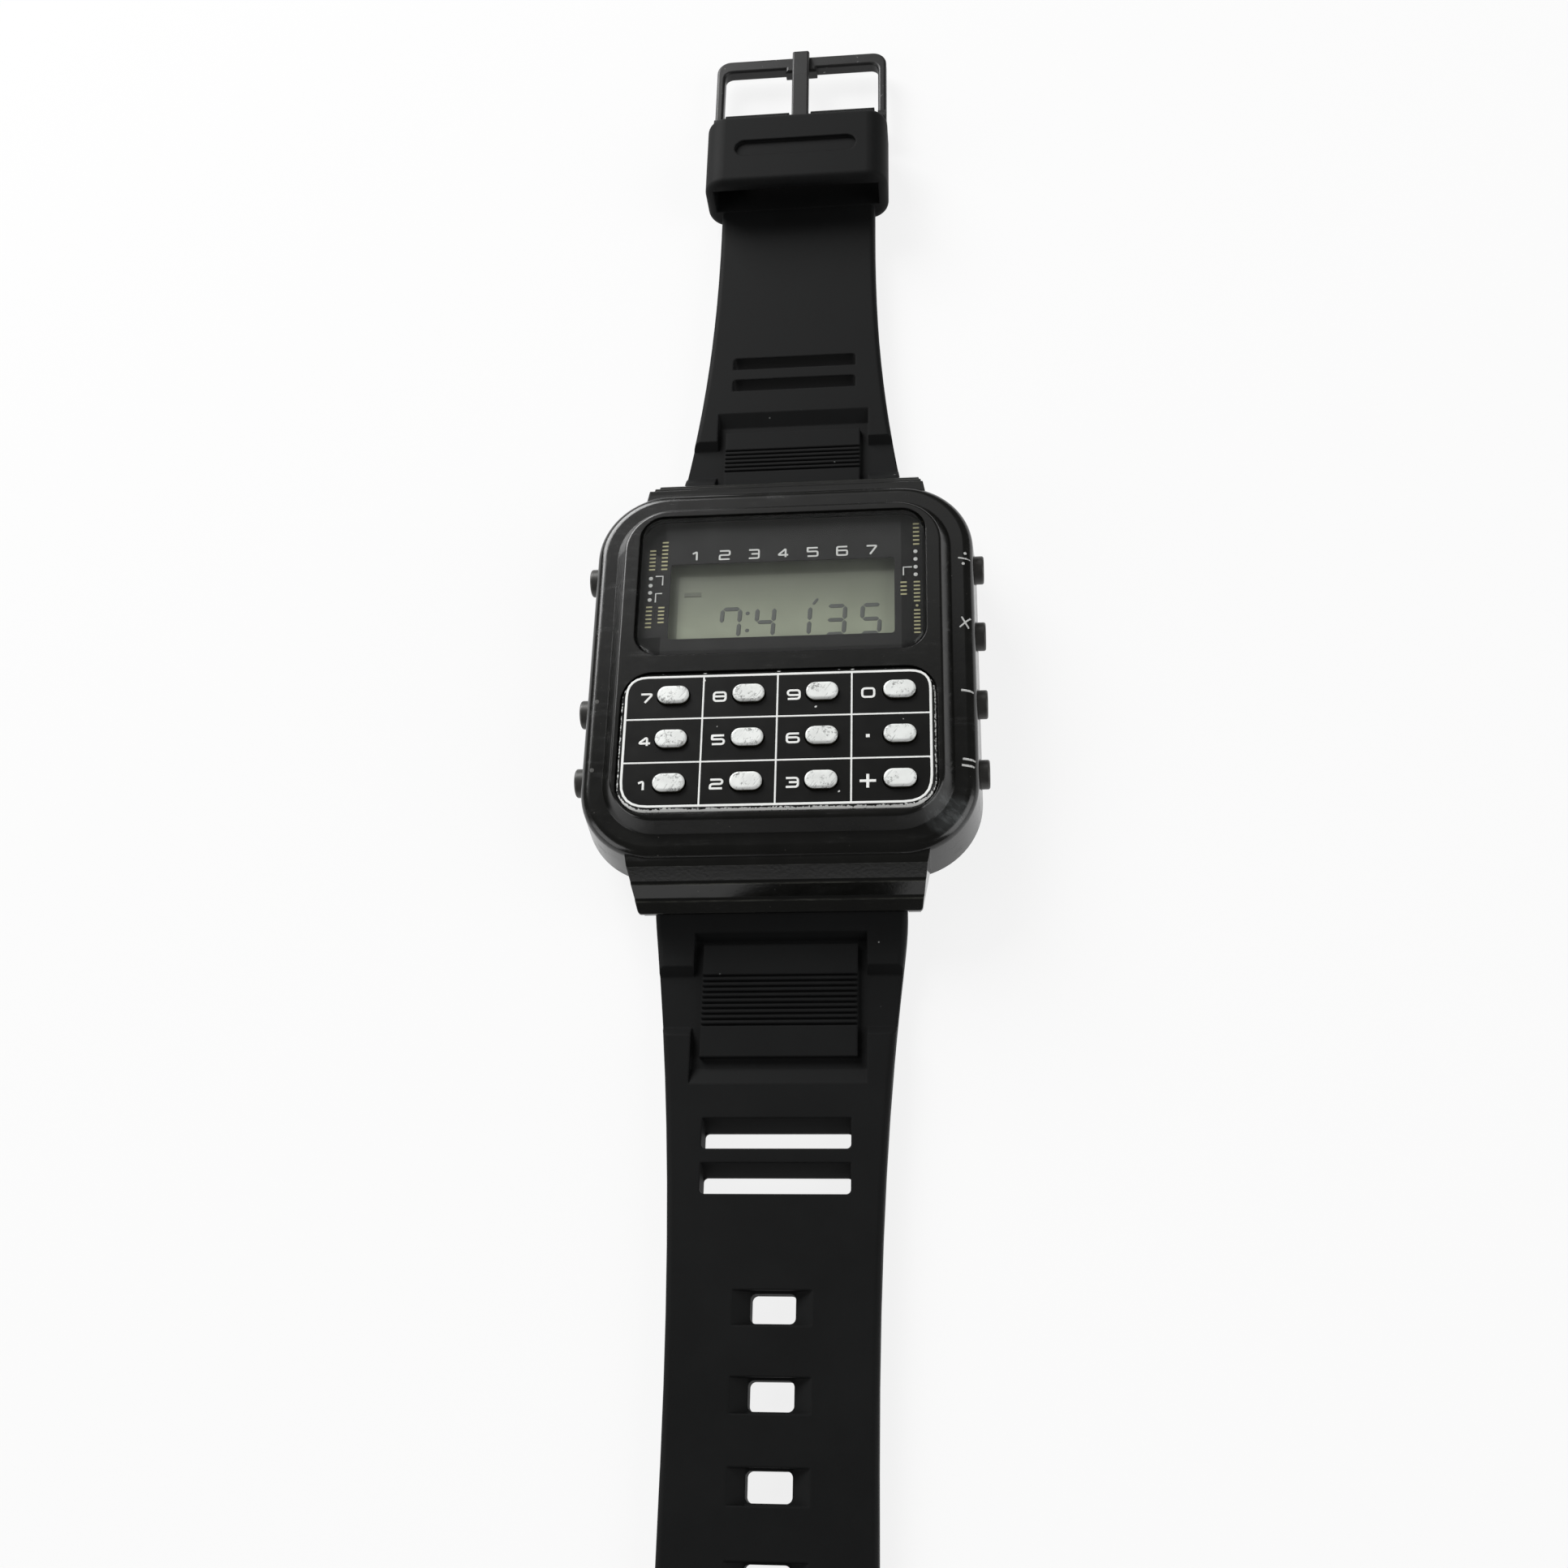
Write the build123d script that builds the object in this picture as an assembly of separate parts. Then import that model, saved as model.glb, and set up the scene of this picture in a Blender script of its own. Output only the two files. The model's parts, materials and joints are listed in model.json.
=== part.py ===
from build123d import *
import os
from math import atan2, cos, degrees, radians, sqrt

# Calculator watch, strap laid out flat. Millimetres.
# +X to 3 o'clock, +Y to 12 o'clock, +Z out of the face.
# The origin is the centre of the case back's outer face, which the watch lies on.

# General clearances
cut_overrun = 1.0
slip_clearance = 0.05
glue_gap = 0.02

# Case, outside
case_width = 36.0
case_length = 38.2
case_corner_radius = 6.9
case_flare = 0.4
rim_inset = 0.6
back_thickness = 0.8
wall_foot_z = 3.0
shelf_z = 8.6
shelf_edge_radius = 1.0
shelf_side = 2.05
shelf_end = 2.0
dial_z = 10.0
dial_corner_inset = 1.7
dial_slope_run = 0.95
dial_edge_radius = 0.3

# Case, inside
side_wall = 3.8
end_wall = 3.2
ceiling_z = 8.2

# Stepped hood over each strap end
hood_reach = 3.85
hood_top_drop = 0.6
hood_lip_z = 4.15
hood_lip_height = 0.25
hood_ledge = 0.26
hood_reach_shares = (0.18, 0.5, 0.79, 1.0)
hood_drop_shares = (0.0, 0.37, 0.72, 1.0)
hood_root_overhang = 2.3
hood_tip_overhang = 1.3
hood_corner_radius = 0.3
hood_root = 1.4
hood_edge_radius = 0.12
lug_thickness = 1.1

# Spring bars
strap_slot_width = 23.0
bar_inboard = 2.05
bar_z = 2.4
bar_radius = 0.7
bar_tip_radius = 0.4
bar_tip_length = 0.7
bar_collar_radius = 0.78
bar_collar_length = 0.5
bar_collar_inset = 0.9
ear_radius = 1.5

# Crystal and its black mask
crystal_side_margin = 1.5
crystal_end_margin = 0.8
crystal_length_share = 0.46
crystal_corner_radius = 2.2
crystal_thickness = 1.1
crystal_bevel = 0.2
crystal_gap = 0.14
mask_thickness = 0.1
seal_thickness = 0.15
seal_width = 1.2
window_side_margin = 2.85
window_top_margin = 4.67
window_bottom_margin = 2.05
window_corner_radius = 0.3
opening_room = 0.6

# Keypad plate and keys
pad_side_margin = 0.65
pad_end_margin = 0.7
pad_length_share = 0.429
pad_corner_radius = 2.7
pad_thickness = 0.55
pad_proud = 0.12
pad_bevel = 0.25
pad_gap = 0.16
key_length = 2.95
key_width = 1.75
key_proud = 0.5
key_travel = 0.4
key_edge_radius = 0.22
key_gap = 0.1
key_flange_reach = 0.3
key_flange_thickness = 0.35
key_left_margin = 4.81
key_right_margin = 3.25
key_top_margin = 2.41
key_bottom_margin = 2.67
key_column_shares = (0.0, 0.336, 0.661, 1.0)
key_row_shares = (1.0, 0.495, 0.0)
key_names = (
    ("key_7", "key_8", "key_9", "key_0"),
    ("key_4", "key_5", "key_6", "key_point"),
    ("key_1", "key_2", "key_3", "key_plus"),
)

# Side pushers
pusher_z = 5.5
pusher_first_margin = 8.1
pusher_last_margin = 8.6
pusher_right_shares = (1.0, 0.663, 0.33, 0.0)
pusher_left_shares = (1.0, 0.33, 0.0)
pusher_head_radius = 1.35
pusher_tip_reach = 0.85
pusher_head_length = 1.4
pusher_edge_radius = 0.2
pusher_dish_radius = 0.95
pusher_dish_depth = 0.12
pusher_bore_gap = 0.12
pusher_stem_radius = 0.65
pusher_stem_reach = 0.45
spring_length = 1.0
spring_wire = 0.2
spring_radius = 1.05
spring_turns = 2
clip_radius = 1.05
clip_thickness = 0.2
clip_neck_radius = 0.45
clip_wall_gap = 0.1
seal_cord = 0.4
seal_setback = 0.95
seal_groove_width = 0.5

# Movement, stacked between the ceiling and the case back
board_z = 5.6
board_thickness = 0.8
module_side_room = 1.2
module_end_room = 0.4
module_corner_room = 1.1
module_gap = 0.1
tab_width = 2.4
lcd_margin = 0.85
lcd_end_margin = 1.6
lcd_thickness = 1.1
lcd_lift = 0.6
polarizer_margin = 0.7
reflector_thickness = 0.06
zebra_width = 1.1
mat_base = 0.5
mat_dome_length = 2.4
mat_dome_width = 1.4
mat_margin = 0.35
mat_corner_radius = 2.0
chip_size = 7.0
chip_height = 1.0
component_gap = 0.8
crystal_can_radius = 0.95
crystal_can_length = 6.0
crystal_can_row_share = -0.23
trimmer_radius = 1.6
trimmer_height = 1.4
trimmer_slot = 0.4
lamp_radius = 0.6
lamp_length = 3.4
contact_thickness = 0.12
contact_width = 2.4
contact_drop = 0.8
contact_rise = 0.4

# Battery, its holder and the case back
battery_side_wall = 3.0
battery_thickness = 1.6
battery_cap_step = 1.4
battery_cap_height = 0.25
battery_gap = 0.1
holder_z = 1.3
holder_floor = 0.5
holder_wall = 2.2
clamp_reach = 1.5
clamp_width = 5.0
clamp_thickness = 0.2
gasket_inset = 0.3
gasket_width = 0.65
gasket_height = 0.5
back_margin = 0.5
back_edge_radius = 0.3
screw_edge = 0.6
screw_wall = 0.35
screw_head_radius = 1.05
screw_head_height = 0.45
screw_head_recess = 0.05
screw_shank_radius = 0.6
screw_depth = 3.2
screw_slot_width = 0.3
screw_slot_depth = 0.25

# Both strap halves. Each reach is a distance along the strap from its spring bar.
strap_thickness = 2.6
strap_side_gap = 0.1
strap_eye_radius = 1.7
strap_eye_gap = 0.2
strap_flat_reach = 5.6
strap_root_reach = 2.1
strap_root_top = 3.35
strap_edge_radius = 0.5
strap_taper_shares = (0.08, 0.35)
panel_half_width = 7.8
panel_depth = 0.7
panel_slope = 1.45
island_width = 13.9
island_proud_drop = 0.12
island_frame = 0.5
island_frame_far = 0.95
link_slope = 0.8
rib_pitch = 0.5
rib_groove = 0.22
rib_depth = 0.25
slot_length = 12.9
slot_corner_radius = 0.4
slot_sill = 0.4
slot_ramp_share = 0.33

# Strap half with the holes
hole_side_tail_width = 17.5
hole_side_taper_reach = 48.4
hole_side_length = 109.1
tip_radius = 7.5
hole_side_island_reach = 4.5
hole_side_island_length = 10.3
hole_side_link_length = 4.7
hole_side_rib_count = 10
hole_side_slot_reach = 20.2
hole_side_slot_width = 2.65
hole_side_slot_pitch = 3.83
hole_count = 10
hole_first_reach = 35.9
hole_last_inset = 12.0
hole_length = 3.8
hole_width = 2.4
hole_corner_radius = 0.5
funnel_length = 6.7
funnel_width = 2.8
funnel_depth = 0.9

# Strap half with the buckle
buckle_side_tail_width = 16.9
buckle_side_taper_reach = 36.1
buckle_side_length = 51.7
buckle_side_island_reach = 2.5
buckle_side_island_length = 7.0
buckle_side_link_length = 3.3
buckle_side_rib_count = 6
buckle_side_slot_reach = 14.7
buckle_side_slot_width = 1.45
buckle_side_slot_pitch = 2.75
pin_z = 1.9
pin_radius = 0.6
pin_eye_radius = 1.6
tongue_slot_width = 2.5
tongue_slot_reach = 1.75
keeper_setback = 2.8
keeper_length = 9.8
keeper_top = 7.0
keeper_roof = 1.2
keeper_wall = 1.0
keeper_corner_radius = 2.2
keeper_rim_radius = 0.8
keeper_side_gap = 0.25
keeper_floor_gap = 0.05
keeper_groove_length = 13.3
keeper_groove_width = 2.2
keeper_groove_depth = 0.35

# Buckle
buckle_side_gap = 0.1
buckle_arm = 0.95
buckle_opening_reach = 8.4
buckle_bar_width = 1.7
buckle_corner_radius = 1.6
buckle_inner_radius = 0.9
buckle_thickness = 1.4
buckle_knuckle_radius = 1.3
buckle_rest_width = 3.6
buckle_rest_reach = 0.5
buckle_edge_radius = 0.3
tongue_width = 1.9
tongue_eye_radius = 1.15
tongue_thickness = 0.9
tongue_gap = 0.05
tongue_overhang = 0.3
tongue_edge_radius = 0.2

# Worked-out places: case and hood
case_end = case_length / 2
hood_end = case_end + hood_reach
bar_y = hood_end - bar_inboard
body_bottom = back_thickness
dial_foot_width = case_width - 2 * shelf_side
dial_foot_length = case_length - 2 * shelf_end
dial_foot_radius = case_corner_radius - dial_corner_inset
dial_width = dial_foot_width - 2 * dial_slope_run
dial_length = dial_foot_length - 2 * dial_slope_run

# Worked-out places: case back screws and the cavity, whose corners leave them room
back_width = case_width - 2 * (rim_inset + back_margin)
back_length = case_length - 2 * (rim_inset + back_margin)
back_corner_radius = case_corner_radius - rim_inset - back_margin
screw_offset = (back_corner_radius - screw_head_radius - screw_edge) * cos(radians(45))
screw_x = back_width / 2 - back_corner_radius + screw_offset
screw_y = back_length / 2 - back_corner_radius + screw_offset
cavity_width = case_width - 2 * side_wall
cavity_length = case_length - 2 * end_wall
cavity_half = cavity_width / 2
screw_room = gasket_inset + gasket_width + screw_wall + screw_shank_radius
corner_run_x = cavity_half - screw_x
corner_run_y = cavity_length / 2 - screw_y
corner_sum = corner_run_x + corner_run_y + screw_room
corner_rest = corner_run_x**2 + corner_run_y**2 - screw_room**2
cavity_corner_radius = corner_sum + sqrt(corner_sum**2 - corner_rest)

# Worked-out places: crystal, window and keypad
crystal_width = dial_width - 2 * crystal_side_margin
crystal_length = dial_length * crystal_length_share
crystal_center_y = dial_length / 2 - crystal_end_margin - crystal_length / 2
crystal_floor_z = dial_z + crystal_bevel / 2 - crystal_thickness - mask_thickness - seal_thickness
window_width = crystal_width - 2 * window_side_margin
window_length = crystal_length - window_top_margin - window_bottom_margin
window_center_y = crystal_center_y + (window_bottom_margin - window_top_margin) / 2
pad_width = dial_width - 2 * pad_side_margin
pad_length = dial_length * pad_length_share
pad_center_y = pad_end_margin + (pad_length - dial_length) / 2
pad_floor_z = dial_z + pad_proud - pad_thickness
pad_top_z = dial_z + pad_proud
key_left_x = key_left_margin - pad_width / 2
key_low_y = pad_center_y - pad_length / 2 + key_bottom_margin
key_span_x = pad_width - key_left_margin - key_right_margin
key_span_y = pad_length - key_top_margin - key_bottom_margin
key_columns = [key_left_x + key_span_x * share for share in key_column_shares]
key_rows = [key_low_y + key_span_y * share for share in key_row_shares]

# Worked-out places: movement
board_top = board_z + board_thickness
module_width = cavity_width - 2 * module_side_room
module_length = cavity_length - 2 * module_end_room
module_corner_radius = cavity_corner_radius - module_corner_room
component_half_x = module_width / 2 - holder_wall - component_gap
component_half_y = module_length / 2 - holder_wall - component_gap
lcd_width = window_width + 2 * lcd_margin
lcd_length = window_length + 2 * lcd_end_margin
lcd_z = board_top + lcd_lift
battery_radius = module_width / 2 - battery_side_wall
holder_top = board_z
holder_pocket_top = holder_z + battery_thickness + battery_gap
mat_low_x = key_columns[0] - key_length / 2 - mat_margin
mat_high_x = key_columns[-1] + key_length / 2 + mat_margin
mat_low_y = key_rows[-1] - key_width / 2 - mat_margin
mat_high_y = key_rows[0] + key_width / 2 + mat_margin

# Worked-out places: side pushers
pusher_low_y = pusher_last_margin - case_end
pusher_span = case_length - pusher_first_margin - pusher_last_margin
pusher_rows_right = [pusher_low_y + pusher_span * share for share in pusher_right_shares]
pusher_rows_left = [pusher_low_y + pusher_span * share for share in pusher_left_shares]
tab_rows = [sum(pusher_rows_right[:2]) / 2, sum(pusher_rows_right[2:]) / 2]
pusher_outer_x = case_width / 2 + case_flare * (shelf_z - pusher_z) / (shelf_z - wall_foot_z)
pusher_tip_x = pusher_outer_x + pusher_tip_reach
pusher_head_inner_x = pusher_tip_x - pusher_head_length
pusher_bore_floor_x = pusher_head_inner_x - spring_length
pusher_stem_end_x = cavity_half - pusher_stem_reach
seal_groove_x = pusher_bore_floor_x - seal_setback - seal_groove_width

# Worked-out places: strap and buckle
strap_flat_start = bar_y + strap_flat_reach
hole_side_tip = bar_y + hole_side_length
hole_span = hole_side_length - hole_first_reach - hole_last_inset
hole_pitch = hole_span / (hole_count - 1)
pin_y = bar_y + buckle_side_length
keeper_end = pin_y - keeper_setback
keeper_middle_y = keeper_end - keeper_length / 2
keeper_width = hole_side_tail_width + 2 * (keeper_side_gap + keeper_wall)
buckle_inner_width = hole_side_tail_width + 2 * buckle_side_gap
buckle_width = buckle_inner_width + 2 * buckle_arm
buckle_far_inner = pin_y + buckle_opening_reach


def plate(width, length, radius, low, high, center_y=0.0):
    """A flat plate with rounded corners between two heights."""
    outline = RectangleRounded(width, length, radius)
    return Pos(0, center_y, low) * extrude(outline, amount=high - low)


def tapered_plate(width, length, radius, low, high, inset):
    """A plate whose sides lean inwards by inset from its foot to its top."""
    rise = high - low
    outline = RectangleRounded(width, length, radius)
    return Pos(0, 0, low) * extrude(outline, amount=rise, taper=degrees(atan2(inset, rise)))


def block(width, length, low, high, center_x=0.0, center_y=0.0):
    """A square-edged block between two heights."""
    return Pos(center_x, center_y, (low + high) / 2) * Box(width, length, high - low)


def shaft(radius, x_low, x_high, y, z):
    """A round bar along X."""
    return Pos((x_low + x_high) / 2, y, z) * Rot(0, 90, 0) * Cylinder(radius, x_high - x_low)


def post(radius, low, high, x, y):
    """A round bar along Z."""
    return Pos(x, y, (low + high) / 2) * Cylinder(radius, high - low)


def stadium(length, width, low, high, x, y):
    """A bar with round ends, lying along X."""
    return Pos(x, y, low) * extrude(SlotOverall(length, width), amount=high - low)


def side_slab(points, width, rounded_point=None, radius=0.0):
    """A closed outline of (y, z) points, drawn out along X about the middle."""
    face = make_face(Polyline(*points, close=True))
    if rounded_point is not None:
        place = Vector(*rounded_point)
        corner = face.vertices().sort_by(lambda vertex: (Vector(*vertex) - place).length)[0]
        face = fillet(corner, radius)
    return extrude(Plane.YZ * face, amount=width / 2, both=True)


def group(solids):
    """Several separate solids that share one node."""
    return Compound(children=list(solids))


def to_left(solid):
    """The mirror image across the middle of the watch, left for right."""
    return mirror(solid, about=Plane.YZ)


def to_lower(solid):
    """The mirror image at the other end of the watch, 6 o'clock for 12."""
    return mirror(solid, about=Plane.XZ)


# Case body

def hood():
    """The stepped hood and lug ears at the 12 o'clock end, with the room for the strap end."""
    top_z = shelf_z - hood_top_drop
    drop = top_z - hood_lip_z
    edges = []
    for reach_share, drop_share in zip(hood_reach_shares, hood_drop_shares):
        edges.append((case_end + hood_reach * reach_share, top_z - drop * drop_share))
    inner_y = case_end - hood_root
    lip_bottom = hood_lip_z - hood_lip_height
    root_half = strap_slot_width / 2 + hood_root_overhang
    result = None
    for step, (edge_y, edge_z) in enumerate(edges[:-1]):
        foot_y, foot_z = edges[step + 1]
        if foot_y < hood_end:
            foot_y -= hood_ledge
        outline = [
            (inner_y, lip_bottom),
            (foot_y, lip_bottom),
            (foot_y, foot_z),
            (edge_y, edge_z),
            (inner_y, edge_z),
        ]
        tread = side_slab(outline, 2 * root_half, (edge_y, edge_z), hood_edge_radius)
        result = tread if result is None else result + tread
    ear_bottom = bar_z - ear_radius
    lug_width = strap_slot_width + 2 * lug_thickness
    ears = side_slab(
        [
            (inner_y, ear_bottom),
            (bar_y, ear_bottom),
            (bar_y + ear_radius, bar_z),
            (hood_end, lip_bottom),
            (hood_end, hood_lip_z),
            (inner_y, hood_lip_z),
        ],
        lug_width,
    )
    ears += shaft(ear_radius, -lug_width / 2, lug_width / 2, bar_y, bar_z)
    return (result + ears) & hood_envelope(root_half, inner_y, ear_bottom, top_z)


def hood_envelope(root_half, inner_y, low, high):
    """The room that a hood may fill, whose sides draw in towards the strap."""
    tip_half = strap_slot_width / 2 + hood_tip_overhang
    outline = [
        (-root_half, inner_y),
        (root_half, inner_y),
        (tip_half, hood_end),
        (-tip_half, hood_end),
    ]
    face = make_face(Polyline(*outline, close=True))
    face = fillet(face.vertices().sort_by(Axis.Y)[-2:], hood_corner_radius)
    return Pos(0, 0, low) * extrude(face, amount=high - low)


def hood_room():
    """The space under the hood where the strap end turns on its spring bar."""
    room_radius = strap_eye_radius + strap_eye_gap
    half = strap_slot_width / 2
    lip_bottom = hood_lip_z - hood_lip_height
    outside_y = hood_end + cut_overrun
    room = shaft(room_radius, -half, half, bar_y, bar_z)
    room += side_slab(
        [
            (bar_y - room_radius, bar_z),
            (bar_y, bar_z + room_radius),
            (hood_end, lip_bottom),
            (outside_y, lip_bottom),
            (outside_y, -cut_overrun),
            (bar_y - room_radius, -cut_overrun),
        ],
        strap_slot_width,
    )
    tip_half = half + bar_tip_length + slip_clearance
    room += shaft(bar_tip_radius + slip_clearance, -tip_half, tip_half, bar_y, bar_z)
    return room


def pusher_room(row):
    """The stepped bore in the right wall for one pusher."""
    room = shaft(
        pusher_head_radius + pusher_bore_gap,
        pusher_bore_floor_x,
        pusher_outer_x + cut_overrun,
        row,
        pusher_z,
    )
    room += shaft(
        pusher_stem_radius + slip_clearance,
        cavity_half - cut_overrun,
        pusher_bore_floor_x,
        row,
        pusher_z,
    )
    room += shaft(
        clip_radius + pusher_bore_gap,
        cavity_half - cut_overrun,
        cavity_half,
        row,
        pusher_z,
    )
    groove_radius = pusher_stem_radius + slip_clearance + seal_cord + slip_clearance
    room += shaft(
        groove_radius, seal_groove_x, seal_groove_x + seal_groove_width, row, pusher_z
    )
    return room


def screw_places():
    """The four corner places of the case back screws."""
    return [(x, y) for x in (-screw_x, screw_x) for y in (-screw_y, screw_y)]


def make_case_body():
    wall = tapered_plate(
        case_width + 2 * case_flare,
        case_length + 2 * case_flare,
        case_corner_radius + case_flare,
        wall_foot_z,
        shelf_z,
        case_flare,
    )
    wall = fillet(wall.faces().sort_by(Axis.Z)[-1].edges(), shelf_edge_radius)
    rim = plate(
        case_width - 2 * rim_inset,
        case_length - 2 * rim_inset,
        case_corner_radius - rim_inset,
        body_bottom,
        wall_foot_z,
    )
    dial_block = tapered_plate(
        dial_foot_width, dial_foot_length, dial_foot_radius, shelf_z, dial_z, dial_slope_run
    )
    dial_block = fillet(dial_block.faces().sort_by(Axis.Z)[-1].edges(), dial_edge_radius)
    upper_hood = hood()
    body = wall + rim + dial_block + upper_hood + to_lower(upper_hood)
    upper_room = hood_room()
    body -= upper_room
    body -= to_lower(upper_room)
    body -= plate(
        cavity_width,
        cavity_length,
        cavity_corner_radius,
        body_bottom - cut_overrun,
        ceiling_z,
    )
    body -= plate(
        crystal_width + 2 * crystal_gap,
        crystal_length + 2 * crystal_gap,
        crystal_corner_radius + crystal_gap,
        crystal_floor_z,
        dial_z + cut_overrun,
        crystal_center_y,
    )
    body -= plate(
        window_width + 2 * opening_room,
        window_length + 2 * opening_room,
        window_corner_radius + opening_room,
        ceiling_z - cut_overrun,
        crystal_floor_z + cut_overrun,
        window_center_y,
    )
    body -= plate(
        pad_width + 2 * pad_gap,
        pad_length + 2 * pad_gap,
        pad_corner_radius + pad_gap,
        pad_floor_z,
        dial_z + cut_overrun,
        pad_center_y,
    )
    for x in key_columns:
        for y in key_rows:
            body -= stadium(
                key_length + 2 * key_gap,
                key_width + 2 * key_gap,
                ceiling_z - cut_overrun,
                dial_z + cut_overrun,
                x,
                y,
            )
    for row in pusher_rows_right:
        body -= pusher_room(row)
    for row in pusher_rows_left:
        body -= to_left(pusher_room(row))
    for x, y in screw_places():
        body -= post(screw_shank_radius + glue_gap, body_bottom - cut_overrun, screw_depth, x, y)
    body -= gasket_ring(body_bottom - cut_overrun, body_bottom + gasket_height)
    return body


def gasket_ring(low, high):
    """The rounded frame that the case gasket fills, round the cavity's mouth."""
    inner = gasket_inset
    outer = gasket_inset + gasket_width
    ring = plate(
        cavity_width + 2 * outer,
        cavity_length + 2 * outer,
        cavity_corner_radius + outer,
        low,
        high,
    )
    ring -= plate(
        cavity_width + 2 * inner,
        cavity_length + 2 * inner,
        cavity_corner_radius + inner,
        low - cut_overrun,
        high + cut_overrun,
    )
    return ring


# Crystal

def make_crystal():
    base_z = crystal_floor_z + seal_thickness + mask_thickness
    crystal = plate(
        crystal_width,
        crystal_length,
        crystal_corner_radius,
        base_z,
        base_z + crystal_thickness,
        crystal_center_y,
    )
    return chamfer(crystal.faces().sort_by(Axis.Z)[-1].edges(), crystal_bevel)


def make_mask():
    low = crystal_floor_z + seal_thickness
    mask = plate(
        crystal_width,
        crystal_length,
        crystal_corner_radius,
        low,
        low + mask_thickness,
        crystal_center_y,
    )
    mask -= plate(
        window_width,
        window_length,
        window_corner_radius,
        low - cut_overrun,
        low + cut_overrun,
        window_center_y,
    )
    return mask


def make_crystal_seal():
    high = crystal_floor_z + seal_thickness
    seal = plate(
        crystal_width,
        crystal_length,
        crystal_corner_radius,
        crystal_floor_z,
        high,
        crystal_center_y,
    )
    seal -= plate(
        crystal_width - 2 * seal_width,
        crystal_length - 2 * seal_width,
        crystal_corner_radius - seal_width / 2,
        crystal_floor_z - cut_overrun,
        high + cut_overrun,
        crystal_center_y,
    )
    return seal


# Keypad

def make_keypad_panel():
    panel = plate(
        pad_width, pad_length, pad_corner_radius, pad_floor_z, pad_top_z, pad_center_y
    )
    panel = chamfer(panel.faces().sort_by(Axis.Z)[-1].edges(), pad_bevel)
    for x in key_columns:
        for y in key_rows:
            panel -= stadium(
                key_length + 2 * key_gap,
                key_width + 2 * key_gap,
                pad_floor_z - cut_overrun,
                pad_top_z + cut_overrun,
                x,
                y,
            )
    return panel


def make_key(x, y):
    """One key: cap and stem in one, with the flange that keeps it under the case top."""
    flange_top = ceiling_z - slip_clearance
    cap = stadium(key_length, key_width, flange_top, pad_top_z + key_proud, x, y)
    cap = fillet(cap.faces().sort_by(Axis.Z)[-1].edges(), key_edge_radius)
    flange = stadium(
        key_length + 2 * key_flange_reach,
        key_width + 2 * key_flange_reach,
        flange_top - key_flange_thickness,
        flange_top,
        x,
        y,
    )
    return cap + flange


def make_key_mat():
    mat = Pos((mat_low_x + mat_high_x) / 2, 0, 0) * plate(
        mat_high_x - mat_low_x,
        mat_high_y - mat_low_y,
        mat_corner_radius,
        board_top,
        board_top + mat_base,
        (mat_low_y + mat_high_y) / 2,
    )
    flange_bottom = ceiling_z - slip_clearance - key_flange_thickness
    dome_top = flange_bottom - key_travel - slip_clearance
    for x in key_columns:
        for y in key_rows:
            mat += stadium(mat_dome_length, mat_dome_width, board_top, dome_top, x, y)
    return mat


# Side pushers, modelled on the right and mirrored for the left

def make_pusher(row):
    """Head, stem and, as a second solid, the clip that keeps the pusher in the wall."""
    head = shaft(pusher_head_radius, pusher_head_inner_x, pusher_tip_x, row, pusher_z)
    head = fillet(head.faces().sort_by(Axis.X)[-1].edges(), pusher_edge_radius)
    head -= shaft(
        pusher_dish_radius,
        pusher_tip_x - pusher_dish_depth,
        pusher_tip_x + cut_overrun,
        row,
        pusher_z,
    )
    body = head + shaft(
        pusher_stem_radius, pusher_stem_end_x, pusher_head_inner_x, row, pusher_z
    )
    clip_high = cavity_half - clip_wall_gap
    clip_low = clip_high - clip_thickness
    neck = shaft(
        pusher_stem_radius + slip_clearance,
        clip_low - glue_gap,
        clip_high + glue_gap,
        row,
        pusher_z,
    )
    neck -= shaft(
        clip_neck_radius,
        clip_low - cut_overrun,
        clip_high + cut_overrun,
        row,
        pusher_z,
    )
    body -= neck
    clip = shaft(clip_radius, clip_low, clip_high, row, pusher_z)
    clip -= shaft(
        clip_neck_radius + glue_gap,
        clip_low - cut_overrun,
        clip_high + cut_overrun,
        row,
        pusher_z,
    )
    return [body, clip]


def make_pusher_spring(row):
    """A short coil between the floor of the bore and the pusher's head."""
    rise = spring_length - spring_wire - 2 * glue_gap
    path = Helix(rise / spring_turns, rise, spring_radius)
    section = Plane(origin=path @ 0, z_dir=path % 0) * Circle(spring_wire / 2)
    coil = sweep(section, path=path, is_frenet=True)
    start_x = pusher_bore_floor_x + spring_wire / 2 + glue_gap
    return Pos(start_x, row, pusher_z) * Rot(0, 90, 0) * coil


def make_pusher_seal(row):
    major = pusher_stem_radius + slip_clearance + seal_cord / 2
    center_x = seal_groove_x + seal_groove_width / 2
    return Pos(center_x, row, pusher_z) * Rot(0, 90, 0) * Torus(major, seal_cord / 2)


def make_contact(row):
    """One contact blade, standing on the side of the module behind a pusher."""
    x = module_width / 2 + contact_thickness / 2
    return block(
        contact_thickness, contact_width, board_z - contact_drop, board_top + contact_rise, x, row
    )


# Movement

def module_plate(low, high):
    return plate(module_width, module_length, module_corner_radius, low, high)


def module_tabs(rows, low, high):
    """The small tabs that centre the module between the cavity's side walls."""
    tabs = [block(cavity_width - 2 * module_gap, tab_width, low, high, 0.0, row) for row in rows]
    return tabs[0] if len(tabs) == 1 else tabs[0] + tabs[1]


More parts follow.
